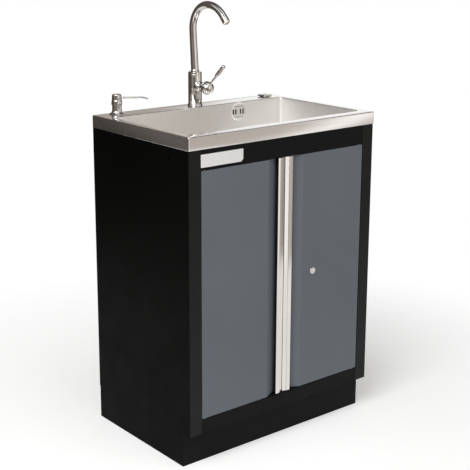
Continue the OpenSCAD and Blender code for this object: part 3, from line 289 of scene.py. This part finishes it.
BRASS = brushed("brass", (0.60, 0.43, 0.17), (0.74, 0.56, 0.26), "Z", (0.25, 0.36), 0.1)
WHITE_PLASTIC = plastic("white_plastic", (0.72, 0.72, 0.70), (0.80, 0.80, 0.78))
DARK_PLASTIC = plastic("dark_plastic", (0.012, 0.012, 0.013), (0.02, 0.02, 0.021), (0.45, 0.6))
BOTTLE = plastic("bottle_plastic", (0.72, 0.76, 0.78), (0.80, 0.83, 0.85), (0.2, 0.3), 0.55)

BY_SLOT = {
    "black_paint": SIDE_PAINT_WITH_PAINTED_FILL, "frame_paint": FRAME_PAINT, "door_paint": DOOR_PAINT, "white_plate": PLATE_WHITE,
    "stainless": STEEL_X, "chrome": CHROME, "aluminium": ALUMINIUM, "zinc": ZINC, "brass": BRASS,
    "white_plastic": WHITE_PLASTIC, "dark_plastic": DARK_PLASTIC, "bottle_plastic": BOTTLE,
}
SLOT_OF = {s["node"]: s["material_slot"] for s in frame["record"]["subparts"]}
BODY_OF = {n: b for b, members in frame["record"]["behaviour"]["bodies"].items() for n in members}


# CAD nodes that keep their shape: finished material, welded faces and broken edges

WELD_GAP = 0.000002
EDGE = 0.3
EDGES = {
    "side_panel_left": 0.55, "side_panel_right": 0.55, "top_rail": 0.5, "bottom_rail": 0.5,
    "plinth_front": 0.5, "plinth_sides": 0.5, "plinth_rear": 0.5, "back_panel": 0.5, "bottom_panel": 0.5,
    "left_door_skin": 0.4, "right_door_skin": 0.4, "blank_nameplate": 0.25,
}

for node, ob in nodes.items():
    ob.data.materials.clear()
    ob.data.materials.append(BY_SLOT[SLOT_OF[node]])
    weld = ob.modifiers.new("weld", "WELD")
    weld.merge_threshold = WELD_GAP
    if node in EDGES:
        flat = ob.modifiers.new("flat", "DECIMATE")
        flat.decimate_type = "DISSOLVE"
        flat.angle_limit = math.radians(1)
    edge = ob.modifiers.new("edge", "BEVEL")
    edge.width = EDGES.get(node, EDGE) * MM
    edge.segments = 2
    edge.limit_method = "ANGLE"
    edge.angle_limit = math.radians(40)
    edge.use_clamp_overlap = True
    even = ob.modifiers.new("even", "WEIGHTED_NORMAL")
    even.keep_sharp = True


# Mesh helpers for the pieces that replace CAD nodes

def mesh_object(name, verts, faces, material, smooth=math.radians(35)):
    me = bpy.data.meshes.new(name)
    me.from_pydata([tuple(c * MM for c in v) for v in verts], [], faces)
    me.materials.append(material)
    bm = bmesh.new()
    bm.from_mesh(me)
    bmesh.ops.remove_doubles(bm, verts=bm.verts, dist=1e-7)
    bmesh.ops.recalc_face_normals(bm, faces=bm.faces)
    bm.to_mesh(me)
    bm.free()
    ob = bpy.data.objects.new(name, me)
    bpy.context.scene.collection.objects.link(ob)
    shade(ob, smooth)
    return ob


def shade(ob, angle):
    ob.data.shade_smooth()
    ob.data.set_sharp_from_angle(angle=angle)


def stand_for(ob, *names):
    """The piece rides with, and takes the place of, these CAD nodes."""
    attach(ob, BODY_OF[names[0]])
    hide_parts(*names)
    return ob


def cosd(a):
    return math.cos(math.radians(a))


def sind(a):
    return math.sin(math.radians(a))


def arc(cx, cy, r, a0, a1, n):
    """Points of an arc in a plane, angles in degrees."""
    angles = [a0 + (a1 - a0) * i / n for i in range(n + 1)]
    return [(cx + r * cosd(a), cy + r * sind(a)) for a in angles]


def lathe(name, profile, place, material, segs, flute=None):
    """Turns (radius, height) points round the local Z axis; place is a matrix in millimetres."""
    verts, faces = [], []
    n = len(profile)
    for j in range(segs):
        a = 2 * math.pi * j / segs
        for r, h in profile:
            rr = r if flute is None else flute(r, h, a)
            verts.append(place @ Vector((rr * math.cos(a), rr * math.sin(a), h)))
    for j in range(segs):
        k = (j + 1) % segs
        for i in range(n - 1):
            faces.append((j * n + i, k * n + i, k * n + i + 1, j * n + i + 1))
    return mesh_object(name, verts, faces, material)


def at(x, y, z, direction=(0, 0, 1)):
    """Matrix that puts local Z along a direction at a point."""
    turn = Vector((0, 0, 1)).rotation_difference(Vector(direction).normalized())
    return Matrix.Translation((x, y, z)) @ turn.to_matrix().to_4x4()


def sweep(name, path, radii, material, segs, bore):
    """Round tube along points, with an outer radius at each and one bore, open at both ends."""
    verts, faces, rings = [], [], []
    n = len(path)
    side = Vector((1, 0, 0))
    for i, p in enumerate(path):
        a = path[max(i - 1, 0)]
        b = path[min(i + 1, n - 1)]
        d = (Vector(b) - Vector(a)).normalized()
        u = (side - d * side.dot(d)).normalized()
        rings.append((Vector(p), u, d.cross(u)))
    for wall in (radii, [bore] * n):
        for (p, u, w), r in zip(rings, wall):
            for j in range(segs):
                t = 2 * math.pi * j / segs
                verts.append(p + u * (r * math.cos(t)) + w * (r * math.sin(t)))
    for base in (0, n * segs):
        for i in range(n - 1):
            here = base + i * segs
            for j in range(segs):
                k = (j + 1) % segs
                faces.append((here + j, here + k, here + segs + k, here + segs + j))
    for i in (0, n - 1):
        outer, inner = i * segs, (n + i) * segs
        for j in range(segs):
            k = (j + 1) % segs
            faces.append((outer + j, outer + k, inner + k, inner + j))
    return mesh_object(name, verts, faces, material)


def round_rect(half_w, y0, y1, r):
    """Outline of a rounded rectangle, anticlockwise, the same count of points for every size."""
    x0, x1 = -half_w + r, half_w - r
    pts = []
    for cx, cy, a in ((x1, y0 + r, -90), (x1, y1 - r, 0), (x0, y1 - r, 90), (x0, y0 + r, 180)):
        pts += arc(cx, cy, r, a, a + 90, CORNER_STEPS)
    return pts


def loft(loops):
    """Quads between closed loops of equal count."""
    verts, faces = [], []
    n = len(loops[0])
    for loop in loops:
        verts += loop
    for i in range(len(loops) - 1):
        for j in range(n):
            k = (j + 1) % n
            faces.append((i * n + j, i * n + k, (i + 1) * n + k, (i + 1) * n + j))
    return verts, faces


def applied(ob):
    """Bakes the modifiers of a piece into its mesh."""
    dg = bpy.context.evaluated_depsgraph_get()
    dg.update()
    me = bpy.data.meshes.new_from_object(ob.evaluated_get(dg))
    ob.modifiers.clear()
    ob.data = me
    return ob


def cut(ob, cutter):
    """Takes the cutter's volume out of a piece."""
    m = ob.modifiers.new("cut", "BOOLEAN")
    m.operation = "DIFFERENCE"
    m.solver = "EXACT"
    m.object = cutter
    bpy.context.view_layer.update()
    applied(ob)
    bpy.data.objects.remove(cutter)


def slab(outline, a, b, axis="Z"):
    """Prism over a plane outline between two heights along Z or Y, as vertices and faces."""
    def put(u, v, h):
        return (u, h, v) if axis == "Y" else (u, v, h)
    n = len(outline)
    verts = [put(u, v, a) for u, v in outline] + [put(u, v, b) for u, v in outline]
    faces = [tuple(range(n)), tuple(range(n, 2 * n))]
    faces += [(i, (i + 1) % n, n + (i + 1) % n, n + i) for i in range(n)]
    return verts, faces


# Sink top and basin

# Inset and height of the apron's lower edge, which is folded in
APRON_FOLD = ((13, 900.4), (1.2, 900.1), (0.3, 900.4), (0, 901.2))
DECK_CORNER, BASIN_CORNER = 3, 14
# The basin's floor is this much higher at its rim than at the waste, and the seat of the waste dips below it
FLOOR_FALL = 1.5
SEAT_R, SEAT_DROP, SEAT_HOLE = 38, 1.2, 0.69
SHEET = 0.0009


def level(outline, z):
    return [(x, y, z) for x, y in outline]


def deck_loop(inset, z):
    return level(round_rect(DECK_X - inset, -DECK_Y + inset, DECK_Y - inset, max(DECK_CORNER - inset, 0.4)), z)


def basin_loop(grow, z):
    return level(round_rect(BASIN_X + grow, BASIN_Y[0] - grow, BASIN_Y[1] + grow, BASIN_CORNER + grow), z)


def sink_mesh():
    """Apron, deck, basin walls and floor down to the hole of the waste, from the outside in."""
    edge, roll, fillet = 2.8, 3.0, 13.0
    loops = [deck_loop(inset, z) for inset, z in APRON_FOLD]
    loops.append(deck_loop(0, DECK_Z - edge))
    loops += [deck_loop(edge - edge * cosd(a), DECK_Z - edge + edge * sind(a)) for a in (20, 45, 70, 90)]
    loops += [basin_loop(roll - roll * sind(a), DECK_Z - roll + roll * cosd(a)) for a in (0, 20, 45, 70, 90)]
    loops += [basin_loop(-fillet + fillet * cosd(a), BASIN_FLOOR + FLOOR_FALL + fillet - fillet * sind(a))
              for a in (0, 15, 30, 45, 60, 75, 90)]
    verts, faces = loft(loops)
    n = len(loops[0])
    base = len(verts) - n
    rim = verts[base:]
    seat = []
    for x, y, _ in rim:
        a = math.atan2(y - WASTE[1], x - WASTE[0])
        seat.append((WASTE[0] + SEAT_R * math.cos(a), WASTE[1] + SEAT_R * math.sin(a)))
    for f in (0.35, 0.7, 1.0):
        verts += [(x + (sx - x) * f, y + (sy - y) * f, z + (BASIN_FLOOR - z) * f)
                  for (x, y, z), (sx, sy) in zip(rim, seat)]
    verts += [(WASTE[0] + (sx - WASTE[0]) * SEAT_HOLE, WASTE[1] + (sy - WASTE[1]) * SEAT_HOLE, BASIN_FLOOR - SEAT_DROP)
              for sx, sy in seat]
    for here in range(base, len(verts) - n, n):
        for j in range(n):
            k = (j + 1) % n
            faces.append((here + j, here + k, here + n + k, here + n + j))
    return verts, faces


def sink_top():
    """The drawn sheet of the sink: basin steel inside the lip, and a round hole for the overflow dish."""
    verts, faces = sink_mesh()
    ob = mesh_object("sink_top", verts, faces, STEEL_X, math.radians(30))
    ob.data.materials.append(BASIN_STEEL)
    slack, lip_z, top_z = 0.001, 0.9352, 0.9355
    for f in ob.data.polygons:
        c = f.center
        inside = abs(c.x) < BASIN_X * MM + slack and BASIN_Y[0] * MM - slack < c.y < BASIN_Y[1] * MM + slack
        if inside and c.z < lip_z:
            f.material_index = 1
    bm = bmesh.new()
    bm.from_mesh(ob.data)
    bm.faces.ensure_lookup_table()
    top = [f for f in bm.faces if abs(f.normal.z) > 0.99 and f.calc_center_median().z > top_z]
    if sum(f.normal.z for f in top) < 0:
        bmesh.ops.reverse_faces(bm, faces=bm.faces)
    bm.to_mesh(ob.data)
    bm.free()
    thick = ob.modifiers.new("sheet", "SOLIDIFY")
    thick.thickness = SHEET
    thick.offset = -1
    applied(ob)
    hole = [(WASTE[0] + x, OVERFLOW_Z + z) for x, z in arc(0, 0, DISH_R, 0, 360, 47)[:-1]]
    cut(ob, mesh_object("slot_cutter", *slab(hole, 150, 162, "Y"), STEEL_X))
    shade(ob, math.radians(30))
    stand_for(ob, "sink_deck", "sink_basin")


def slot_outline(cx, cz, w, h):
    r = w / 2
    pts = arc(cx, cz + h / 2 - r, r, 0, 180, CORNER_STEPS)
    return pts + arc(cx, cz - h / 2 + r, r, 180, 360, CORNER_STEPS)


def overflow_dish():
    """Round pressed dish in the rear wall, with four upright slots."""
    slot_w, slot_h = 5.6, 17
    back = at(WASTE[0], BASIN_Y[1], OVERFLOW_Z, (0, 1, 0))
    dish_profile = [(0.001, 1.3), (23.5, 1.3), (25.0, 1.15), (26.4, 0.6), (27.6, 0.1), (28.6, -0.2), (29.8, -0.25),
                    (30.5, 0.0), (30.5, 0.3), (28.4, 0.6), (27.2, 1.3), (25.4, 2.0), (23.5, 2.2), (0.001, 2.2)]
    ob = lathe("overflow_dish", dish_profile, back, BASIN_STEEL, 96)
    for dx in (-19.5, -9.5, 9.5, 19.5):
        slot = slot_outline(WASTE[0] + dx, OVERFLOW_Z, slot_w, slot_h)
        cut(ob, mesh_object("slot_cutter", *slab(slot, 150, 170, "Y"), STEEL_Z))
    shade(ob, math.radians(30))
    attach(ob, "cabinet")


sink_top()
overflow_dish()

flange_profile = [(24.0, -13), (24.0, 0.2), (24.6, 0.9), (26, 1.0), (29.5, 1.2), (33, 1.45), (37.5, 1.3), (39.4, 0.7),
                  (40, 0), (38, -0.9), (26, -0.9), (26, -14), (24.0, -14), (24.0, -13)]
stand_for(lathe("waste_ring", flange_profile, at(WASTE[0], WASTE[1], BASIN_FLOOR), STEEL_Z, 96), "waste_flange")

plug_profile = [(0.001, 5.7), (9, 5.6), (17, 5.2), (23, 4.5), (26.5, 3.9), (28.4, 3.0), (29, 2.3), (28.4, 1.7),
                (26, 1.55), (22, 1.55), (21, 1.0), (21, -3.3), (20.4, -3.6), (4, -3.6), (4, -48), (3.4, -48.8),
                (0.001, -48.8)]
stand_for(lathe("waste_stopper", plug_profile, at(WASTE[0], WASTE[1], BASIN_FLOOR), CHROME, 96), "waste_plug")


# Tap

ring_profile = [(14, 0), (22.1, 0), (22.5, 0.4), (22.5, 2.0), (22.3, 2.6), (21.9, 3.4), (21.5, 3.9), (21.3, 4.5),
                (21.3, 5.6), (21.0, 6.4), (20.4, 6.9), (14, 7.0), (14, 0)]
stand_for(lathe("tap_foot_ring", ring_profile, at(0, TAP_Y, DECK_Z), CHROME, 96), "tap_base_ring")

body_profile = [(12, 7.0), (19.6, 7.0), (20.1, 7.2), (20.5, 7.8), (20.5, 96.2), (20.3, 96.6), (19.9, 96.8),
                (19.8, 97.3), (20.0, 97.7), (20.4, 97.9), (20.5, 98.4), (20.5, 101.6), (20.2, 102.6), (19.4, 103.2),
                (18.2, 103.5), (10.9, 103.5), (10.9, 90)]
column = lathe("tap_column", body_profile, at(0, TAP_Y, DECK_Z), CHROME, 96)
barrel_profile = [(9, -6), (15.2, -6), (15.2, 16.5), (15.3, 20.5), (15.7, 21.2), (15.7, 24.4), (15.2, 25.3),
                  (13.6, 26.2), (11.6, 27.6), (10.2, 29.6), (9.3, 32.0), (9.0, 34), (9.0, 43.2), (6.2, 43.2),
                  (6.2, 38)]
barrel = lathe("tap_side_barrel", barrel_profile, at(0, TAP_Y, BARREL_Z, (0, -1, 0)), CHROME, 72)
stand_for(column, "tap_body")
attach(barrel, "cabinet")


def lever_place():
    """Local Z from the centre of the dome along the lever."""
    d = Vector((0, -sind(LEVER_LEAN), cosd(LEVER_LEAN)))
    return at(0, DOME_Y, BARREL_Z, d)


dome_r = 20
dome_profile = [(0.001, 20.0)] + [(dome_r * sind(a), dome_r * cosd(a)) for a in range(8, 84, 5)]
dome_profile += [(19.95, 1.2), (19.5, 0.9), (19.5, 0.3), (19.95, 0.0)]
dome_profile += [(dome_r * sind(a), dome_r * cosd(a)) for a in (94, 99, 104, 109, 113.5)]
dome_profile += [(17.6, -8.3), (16.4, -7.4), (17.4, -2), (17.5, 0.5), (16.9, 4.5), (13, 11.8), (7, 16.1), (0.001, 17.5)]
stand_for(lathe("lever_cap", dome_profile, at(0, DOME_Y, BARREL_Z, (0, -1, 0)), CHROME, 96), "lever_dome")

stem_profile = [(0.001, 17.8), (4.6, 17.8), (5.3, 18.6), (5.5, 19.4), (5.0, 20.6), (4.2, 21.6), (3.7, 23), (3.4, 27),
                (3.3, 50), (3.4, 58), (3.4, 66), (0.001, 66)]
stand_for(lathe("lever_stem", stem_profile, lever_place(), CHROME, 48), "lever_rod")

# Radius and distance along the lever, from where the grip starts
GRIP_START = 58
grip_profile = [(0.001, 0), (4.2, 0), (5.0, 0.6), (5.2, 1.4), (4.9, 2.4), (5.3, 3.6), (5.9, 7), (6.3, 12), (6.4, 18),
                (6.4, 36), (6.3, 41), (6.0, 45), (5.4, 47.6), (4.6, 49), (3.0, 49.8), (0.001, 50)]
FLUTES, FLUTE_FROM, FLUTE_LEN, FLUTE_DEPTH = 6, 6, 38, 1.1
GRIP_STEP = 1.5


def fluted(r, h, a):
    """Radius of the grip with its shallow flutes, which run out at both ends."""
    u = (h - (GRIP_START + FLUTE_FROM)) / FLUTE_LEN
    if not 0 < u < 1:
        return r
    depth = FLUTE_DEPTH * math.sin(math.pi * u) ** 0.5
    return r - depth * (0.5 + 0.5 * math.cos(FLUTES * a)) ** 2


grip_points = [(r, GRIP_START + h) for r, h in grip_profile]
dense = []
for (r0, h0), (r1, h1) in zip(grip_points, grip_points[1:]):
    steps = max(1, int((h1 - h0) / GRIP_STEP))
    dense += [(r0 + (r1 - r0) * i / steps, h0 + (h1 - h0) * i / steps) for i in range(steps)]
dense.append(grip_points[-1])
stand_for(lathe("lever_handle", dense, lever_place(), CHROME, 96, fluted), "lever_grip")


NECK_STEPS, RISE_STEPS, FALL_STEPS = 24, 28, 20
SPOUT_R, SPOUT_TAPER, SPOUT_BORE = 11.6, 0.9, 9.3


def spout_path():
    """Straight neck, a quarter turn up to the front, then a wider bow down; all of it leans a little to the rear."""
    lean = math.radians(NECK_LEAN)
    def world(y, z):
        return (0, TAP_Y + y * math.cos(lean) + z * math.sin(lean), NECK_Z - y * math.sin(lean) + z * math.cos(lean))
    pts = [(0, i * NECK_LEN / NECK_STEPS) for i in range(NECK_STEPS + 1)]
    pts += arc(-RISE_R, NECK_LEN, RISE_R, 0, 90, RISE_STEPS)[1:]
    pts += arc(-RISE_R, NECK_LEN + RISE_R - FALL_R, FALL_R, 90, FALL_END, FALL_STEPS)[1:]
    return [world(y, z) for y, z in pts]


path = spout_path()
radii = [SPOUT_R - SPOUT_TAPER * min(i / NECK_STEPS, 1.0) for i in range(len(path))]
spout = sweep("spout_gooseneck", path, radii, CHROME, 64, SPOUT_BORE)
collar_profile = [(9.3, -25), (10.7, -25), (10.7, 0.4), (12.4, 0.4), (12.8, 0.9), (12.8, 3.4), (12.5, 4.1),
                  (11.9, 5.0), (11.6, 6.6), (10, 6.6)]
foot = lathe("spout_foot_collar", collar_profile, at(0, TAP_Y, DECK_Z + TAP_BODY_H), CHROME, 72)
stand_for(spout, "spout_tube")
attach(foot, "spout")

tip, before = Vector(path[-1]), Vector(path[-2])
tip_dir = tip - before
aer_profile = [(9.4, -0.5), (10.9, -0.5), (11.1, 0.2), (11.1, 3.4), (10.8, 3.8), (10.8, 4.4), (11.1, 4.8),
               (11.1, 19.4), (10.8, 20.4), (10.1, 21), (9.2, 21), (8.8, 20.6), (8.8, 18.2), (0.001, 18.0)]
stand_for(lathe("spout_aerator", aer_profile, at(tip.x, tip.y, tip.z, tip_dir), CHROME, 72), "aerator")


# Soap dispenser

foot_profile = [(10, 0), (21.6, 0), (22, 0.4), (22, 1.5), (21.6, 2.0), (20.4, 2.7), (18.2, 3.6), (16.4, 5.0),
                (15.2, 7.0), (14.4, 9.4), (14, 11.5), (14, 27.6), (13.4, 28.4), (10, 28.5), (10, 0)]
shank = lathe("dispenser_foot", foot_profile, at(DISP[0], DISP[1], DECK_Z), SATIN, 72)
shank_profile = [(10, 0), (10, -36), (11.6, -36), (12, -35.4), (12, 0)]
sleeve = lathe("dispenser_sleeve", shank_profile, at(DISP[0], DISP[1], DECK_Z), SATIN, 48)
stand_for(shank, "dispenser_flange")
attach(sleeve, "cabinet")

head_profile = [(14.5, 27.5), (15.4, 27.5), (15.75, 27.9), (15.8, 28.6), (15.6, 33), (15.2, 38), (14.7, 40.6),
                (14.2, 41.4), (14.0, 42.2), (14.0, 43.2), (14.1, 44.2), (13.9, 50), (13.5, 55.4), (13.1, 56.8),
                (12.2, 57.7), (11, 58), (0.001, 58)]
inside = [(0.001, 52), (12, 52), (12, 41.5), (14.4, 41.5), (14.5, 27.5)]
stand_for(lathe("dispenser_head", head_profile + inside, at(DISP[0], DISP[1], DECK_Z), SATIN, 72), "pump_head")


NOZZLE_TURN, NOZZLE_UP = -34, 48
NOZZLE_START, NOZZLE_STRAIGHT, NOZZLE_BEND = 12.0, 68.87, 50
NOZZLE_R, NOZZLE_TAPER, NOZZLE_BORE = 2.7, 0.5, 1.5


def nozzle_path():
    """Level out of the head, then a slight bend down."""
    turn = math.radians(NOZZLE_TURN)
    pts = [(NOZZLE_START + i * (NOZZLE_STRAIGHT - NOZZLE_START) / 10, 0) for i in range(11)]
    pts += [(NOZZLE_STRAIGHT + NOZZLE_BEND * sind(a), -NOZZLE_BEND + NOZZLE_BEND * cosd(a))
            for a in (4, 8, 12, 16, 20, 25)]
    return [(DISP[0] + r * math.cos(turn), DISP[1] + r * math.sin(turn), DECK_Z + NOZZLE_UP + h) for r, h in pts]


nozzle = nozzle_path()
radii = [NOZZLE_R - NOZZLE_TAPER * i / 16 for i in range(len(nozzle))]
stand_for(sweep("dispenser_nozzle", nozzle, radii, SATIN, 24, NOZZLE_BORE), "pump_nozzle")


# Knob of the pop-up waste

def rounded_block(name, half, z0, z1, corner, edge, material, centre):
    """Square block with rounded corners and softened edges."""
    soft = edge * 0.3
    levels = ((edge, z0), (soft, z0 + soft), (0, z0 + edge), (0, z1 - edge), (soft, z1 - soft), (edge, z1))
    loops = []
    for inset, z in levels:
        outline = round_rect(half - inset, -half + inset, half - inset, corner - inset)
        loops.append([(centre[0] + x, centre[1] + y, z) for x, y in outline])
    verts, faces = loft(loops)
    n = len(loops[0])
    faces += [tuple(range(n)), tuple(range(len(verts) - n, len(verts)))]
    return mesh_object(name, verts, faces, material, math.radians(40))


knob = rounded_block("waste_square_knob", 16.5, DECK_Z + 1.4, DECK_Z + 6.4, 2.6, 0.9, SATIN, KNOB)
spindle_profile = [(0.001, -15), (3.5, -15), (4, -14.4), (4, 1.5), (0.001, 1.5)]
spindle = lathe("waste_knob_spindle", spindle_profile, at(KNOB[0], KNOB[1], DECK_Z), ZINC, 32)
stand_for(knob, "waste_knob")
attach(spindle, "knob")


# Lock

lock_place = at(LOCK[0], LOCK[1], LOCK[2], (0, -1, 0))
housing_profile = [(6.55, 1.0), (7.0, 1.5), (8.6, 1.5), (9.6, 1.1), (10, 0.4), (10, 0), (9.5, -0.1), (9.5, -9),
                   (6.55, -9), (6.55, 1.0)]
stand_for(lathe("lock_bezel", housing_profile, lock_place, CHROME, 72), "lock_housing")
core_profile = [(0.001, 1.5), (5.9, 1.5), (6.4, 1.1), (6.5, 0.5), (6.5, -10), (2.5, -10.2), (2.5, -14.5),
                (0.001, -14.5)]
core = lathe("lock_cylinder", core_profile, lock_place, CHROME, 48)
keyway = [(LOCK[0] + x, LOCK[2] + z) for x, z in ((-0.8, -3.4), (0.8, -3.4), (0.8, 3.4), (-0.8, 3.4))]
cut(core, mesh_object("slot_cutter", *slab(keyway, LOCK[1] - 3, LOCK[1] + 1.0, "Y"), CHROME))
shade(core, math.radians(30))
stand_for(core, "lock_core")


# Grip profiles between the doors, and dark strips behind them that paint the shade in the recesses under the grip lips

DOOR_Z = (143.8, 842.2)
FRONT_Y = -227.75
PULL = [(0.8, 6.3), (1.3, 5.8), (12.5, 2.3), (12.8, 2.9), (13.2, 2.9), (13.5, 1.6), (21.2, 0.5), (21.9, 0.5),
        (26.6, 1.75), (27.2, 2.2), (27.4, 2.9), (27.0, 3.5), (26.2, 3.6), (22, 2.7), (13.6, 3.6), (2.8, 8.0),
        (2.8, 18), (13.8, 18), (13.8, 20), (0.8, 20)]
# Section of a dark strip on the recess floor: painted shade where the grip lip shades the recess
PAINTED_SHADE_SECTION = [(2.9, 9), (3.5, 9), (3.5, 17.3), (14.5, 17.3), (14.5, 19.2), (21.6, 19.2), (21.6, 19.9), (13.9, 19.9),
         (13.9, 17.9), (2.9, 17.9)]


def door_strip(name, section, hand, material):
    outline = [(hand * x, FRONT_Y + v) for x, v in section]
    if hand < 0:
        outline.reverse()
    ob = mesh_object(name, *slab(outline, *DOOR_Z), material, math.radians(4))
    edge = ob.modifiers.new("edge", "BEVEL")
    edge.width = 0.0002
    edge.segments = 2
    edge.limit_method = "ANGLE"
    edge.angle_limit = math.radians(25)
    return applied(ob)


for side, hand in (("left", -1), ("right", 1)):
    stand_for(door_strip(side + "_pull_profile", PULL, hand, ALUMINIUM), side + "_door_grip")
    # Dark strip that paints the shade in the recess under the grip lip
    painted_shade_strip = door_strip(side + "_recess_painted_shade", PAINTED_SHADE_SECTION, hand, DARK_PLASTIC)
    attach(painted_shade_strip, side + "_door")


# Floor, backdrop and light

FLOOR_RINGS = (0.05, 0.4, 0.8, 1.2, 1.6, 1.9)
FLOOR_SIDES = 96


def seen_directly(tree):
    """1 for rays from the camera and for rays that metal or glass sends on."""
    paths = add(tree, "ShaderNodeLightPath").outputs
    both = maths(tree, "MAXIMUM", paths["Is Camera Ray"], paths["Is Glossy Ray"])
    return maths(tree, "MAXIMUM", both, paths["Is Transmission Ray"])


def stage_sheet():
    """Level floor disc: it takes the soft shadow near the object and fades to the backdrop's white at its rim."""
    turns = [2 * math.pi * k / FLOOR_SIDES for k in range(FLOOR_SIDES)]
    verts, faces = loft([[(r * math.cos(a) * 1000, r * math.sin(a) * 1000, 0) for a in turns] for r in FLOOR_RINGS])
    faces.append(tuple(range(FLOOR_SIDES)))
    m, t, p = shader("studio_floor")
    p.inputs["Base Color"].default_value = (0.86, 0.86, 0.86, 1)
    p.inputs["Roughness"].default_value = 0.9
    p.inputs["Specular IOR Level"].default_value = 0.1
    lift = add(t, "ShaderNodeEmission")
    lift.inputs["Strength"].default_value = 0.30
    lit = add(t, "ShaderNodeAddShader")
    t.links.new(p.outputs[0], lit.inputs[0])
    t.links.new(lift.outputs[0], lit.inputs[1])
    white = add(t, "ShaderNodeEmission")
    tc = add(t, "ShaderNodeTexCoord")
    reach = add(t, "ShaderNodeVectorMath", operation="LENGTH")
    t.links.new(tc.outputs["Object"], reach.inputs[0])
    fade = mapped(t, reach.outputs["Value"], 0.0, 1.0, 0.55, 1.5)
    soft = either(t, fade, lit.outputs[0], white.outputs[0])
    surface = either(t, seen_directly(t), p.outputs[0], soft)
    t.links.new(surface, t.nodes["Material Output"].inputs["Surface"])
    ob = mesh_object("studio_floor", verts, faces, m)


WARM = (1.0, 0.91, 0.83)


def tone(v):
    return tuple(v * c for c in WARM)


# Round the room at eye level, as a share of a turn: 0 is -X, 0.25 is -Y (front), 0.5 is +X, 0.75 is +Y (rear).
# White screens stand in front, as a narrow strip at the front right, and at the rear right, between darker flags.
WALLS = [
    (0.00, tone(0.20)), (0.03, tone(0.34)), (0.08, tone(0.18)), (0.13, tone(0.15)), (0.18, tone(0.38)),
    (0.225, tone(0.50)), (0.252, 1.0), (0.308, 1.0), (0.322, tone(0.42)), (0.350, tone(0.45)), (0.377, tone(0.46)),
    (0.384, 1.3), (0.393, 1.3), (0.398, tone(0.46)), (0.44, tone(0.42)), (0.468, 0.30), (0.480, tone(0.05)),
    (0.602, tone(0.05)), (0.612, 1.0), (0.640, 1.0), (0.650, tone(0.42)), (0.68, tone(0.38)), (0.69, tone(0.05)),
    (0.83, tone(0.05)), (0.86, tone(0.12)), (0.92, tone(0.06)), (0.975, tone(0.13)), (1.00, tone(0.20)),
]
SHADE = (0.06, 0.055, 0.05)
DARK_CEILING = (0.10, 0.09, 0.08)
ROOM_STRENGTH = 1.15


def studio_world():
    """White to the camera; to every other ray a room of screens and flags under rows of softboxes."""
    world = bpy.data.worlds.new("studio")
    bpy.context.scene.world = world
    world.use_nodes = True
    t = world.node_tree
    t.nodes.clear()
    out = add(t, "ShaderNodeOutputWorld")
    room = add(t, "ShaderNodeBackground")
    room.inputs["Strength"].default_value = ROOM_STRENGTH
    white = add(t, "ShaderNodeBackground")
    white.inputs["Color"].default_value = (1, 1, 1, 1)
    paths = add(t, "ShaderNodeLightPath")
    t.links.new(either(t, paths.outputs["Is Camera Ray"], room.outputs[0], white.outputs[0]), out.inputs["Surface"])

    ray = add(t, "ShaderNodeTexCoord").outputs["Generated"]
    x, y, z = xyz(t, ray)
    turn = mapped(t, maths(t, "ARCTAN2", y, x), 0.0, 1.0, -math.pi, math.pi)
    rise = mapped(t, z, 0.0, 1.0, -1, 1)
    # Below eye level the screen at the rear right is in shade, so that round metal keeps dark edges
    behind = ramp(t, turn, [(0.585, 0.0), (0.60, 1.0), (0.69, 1.0), (0.70, 0.0)])
    below = ramp(t, rise, [(0.49, 1.0), (0.53, 0.0)])
    walls = mixed(t, maths(t, "MULTIPLY", behind, below), ramp(t, turn, WALLS), SHADE)
    # Overhead: rows of long softboxes with dark gaps between them
    across = maths(t, "DIVIDE", x, maths(t, "MAXIMUM", z, 0.2))
    rows = maths(t, "SINE", maths(t, "MULTIPLY_ADD", across, 5.0, 0.8))
    boxes = ramp(t, mapped(t, rows, 0.0, 1.0, -1.0, 1.0), [(0.30, tone(0.10)), (0.42, 1.0), (1.0, 1.0)])
    # The ceiling is dark towards the rear, where the top edges of the spout look
    rear = mapped(t, dot(t, ray, (0.62, 0.78, 0.0)), 0.0, 1.0, -1.0, 1.0)
    ceiling = mixed(t, ramp(t, rear, [(0.50, 1.0), (0.60, 0.0)]), DARK_CEILING, boxes)
    overhead = ramp(t, rise, [(0.61, 0.0), (0.72, 1.0)])
    t.links.new(mixed(t, overhead, walls, ceiling), room.inputs["Color"])


def lamp(name, place, aim, size, energy):
    """Square softbox at a place, aimed at a point."""
    data = bpy.data.lights.new(name, "AREA")
    data.shape = "RECTANGLE"
    data.size, data.size_y = size
    data.energy = energy
    ob = bpy.data.objects.new(name, data)
    bpy.context.scene.collection.objects.link(ob)
    ob.location = place
    ob.rotation_mode = "QUATERNION"
    ob.rotation_quaternion = (Vector(aim) - Vector(place)).to_track_quat("-Z", "Y")


stage_sheet()
studio_world()
lamp("key_left", (-2.7, -1.4, 3.3), (0, 0, 0.6), (2.4, 2.4), 110)


# Camera, fitted to the photograph: focal length and principal point in pixels of a square picture

PICTURE_PX, SENSOR_MM = 470.0, 36.0
F_PX, CX, CY = 1088.0, 218.0, 197.4
AZIMUTH, ELEVATION = math.radians(-38.52), math.radians(13.69)

camera_data = bpy.data.cameras.new("camera")
camera_data.sensor_width = SENSOR_MM
camera_data.lens = F_PX * SENSOR_MM / PICTURE_PX
camera_data.shift_x = (PICTURE_PX / 2 - CX) / PICTURE_PX
camera_data.shift_y = (CY - PICTURE_PX / 2) / PICTURE_PX
camera_data.clip_start, camera_data.clip_end = 0.05, 100
camera = bpy.data.objects.new("camera", camera_data)
bpy.context.scene.collection.objects.link(camera)
to_camera = Vector((math.sin(AZIMUTH) * math.cos(ELEVATION), -math.cos(AZIMUTH) * math.cos(ELEVATION),
                    math.sin(ELEVATION)))
camera.location = (-1.988, -2.420, 1.447)
camera.rotation_mode = "QUATERNION"
camera.rotation_quaternion = (-to_camera).to_track_quat("-Z", "Y")
bpy.context.scene.camera = camera

bpy.context.scene.view_settings.view_transform = "Standard"
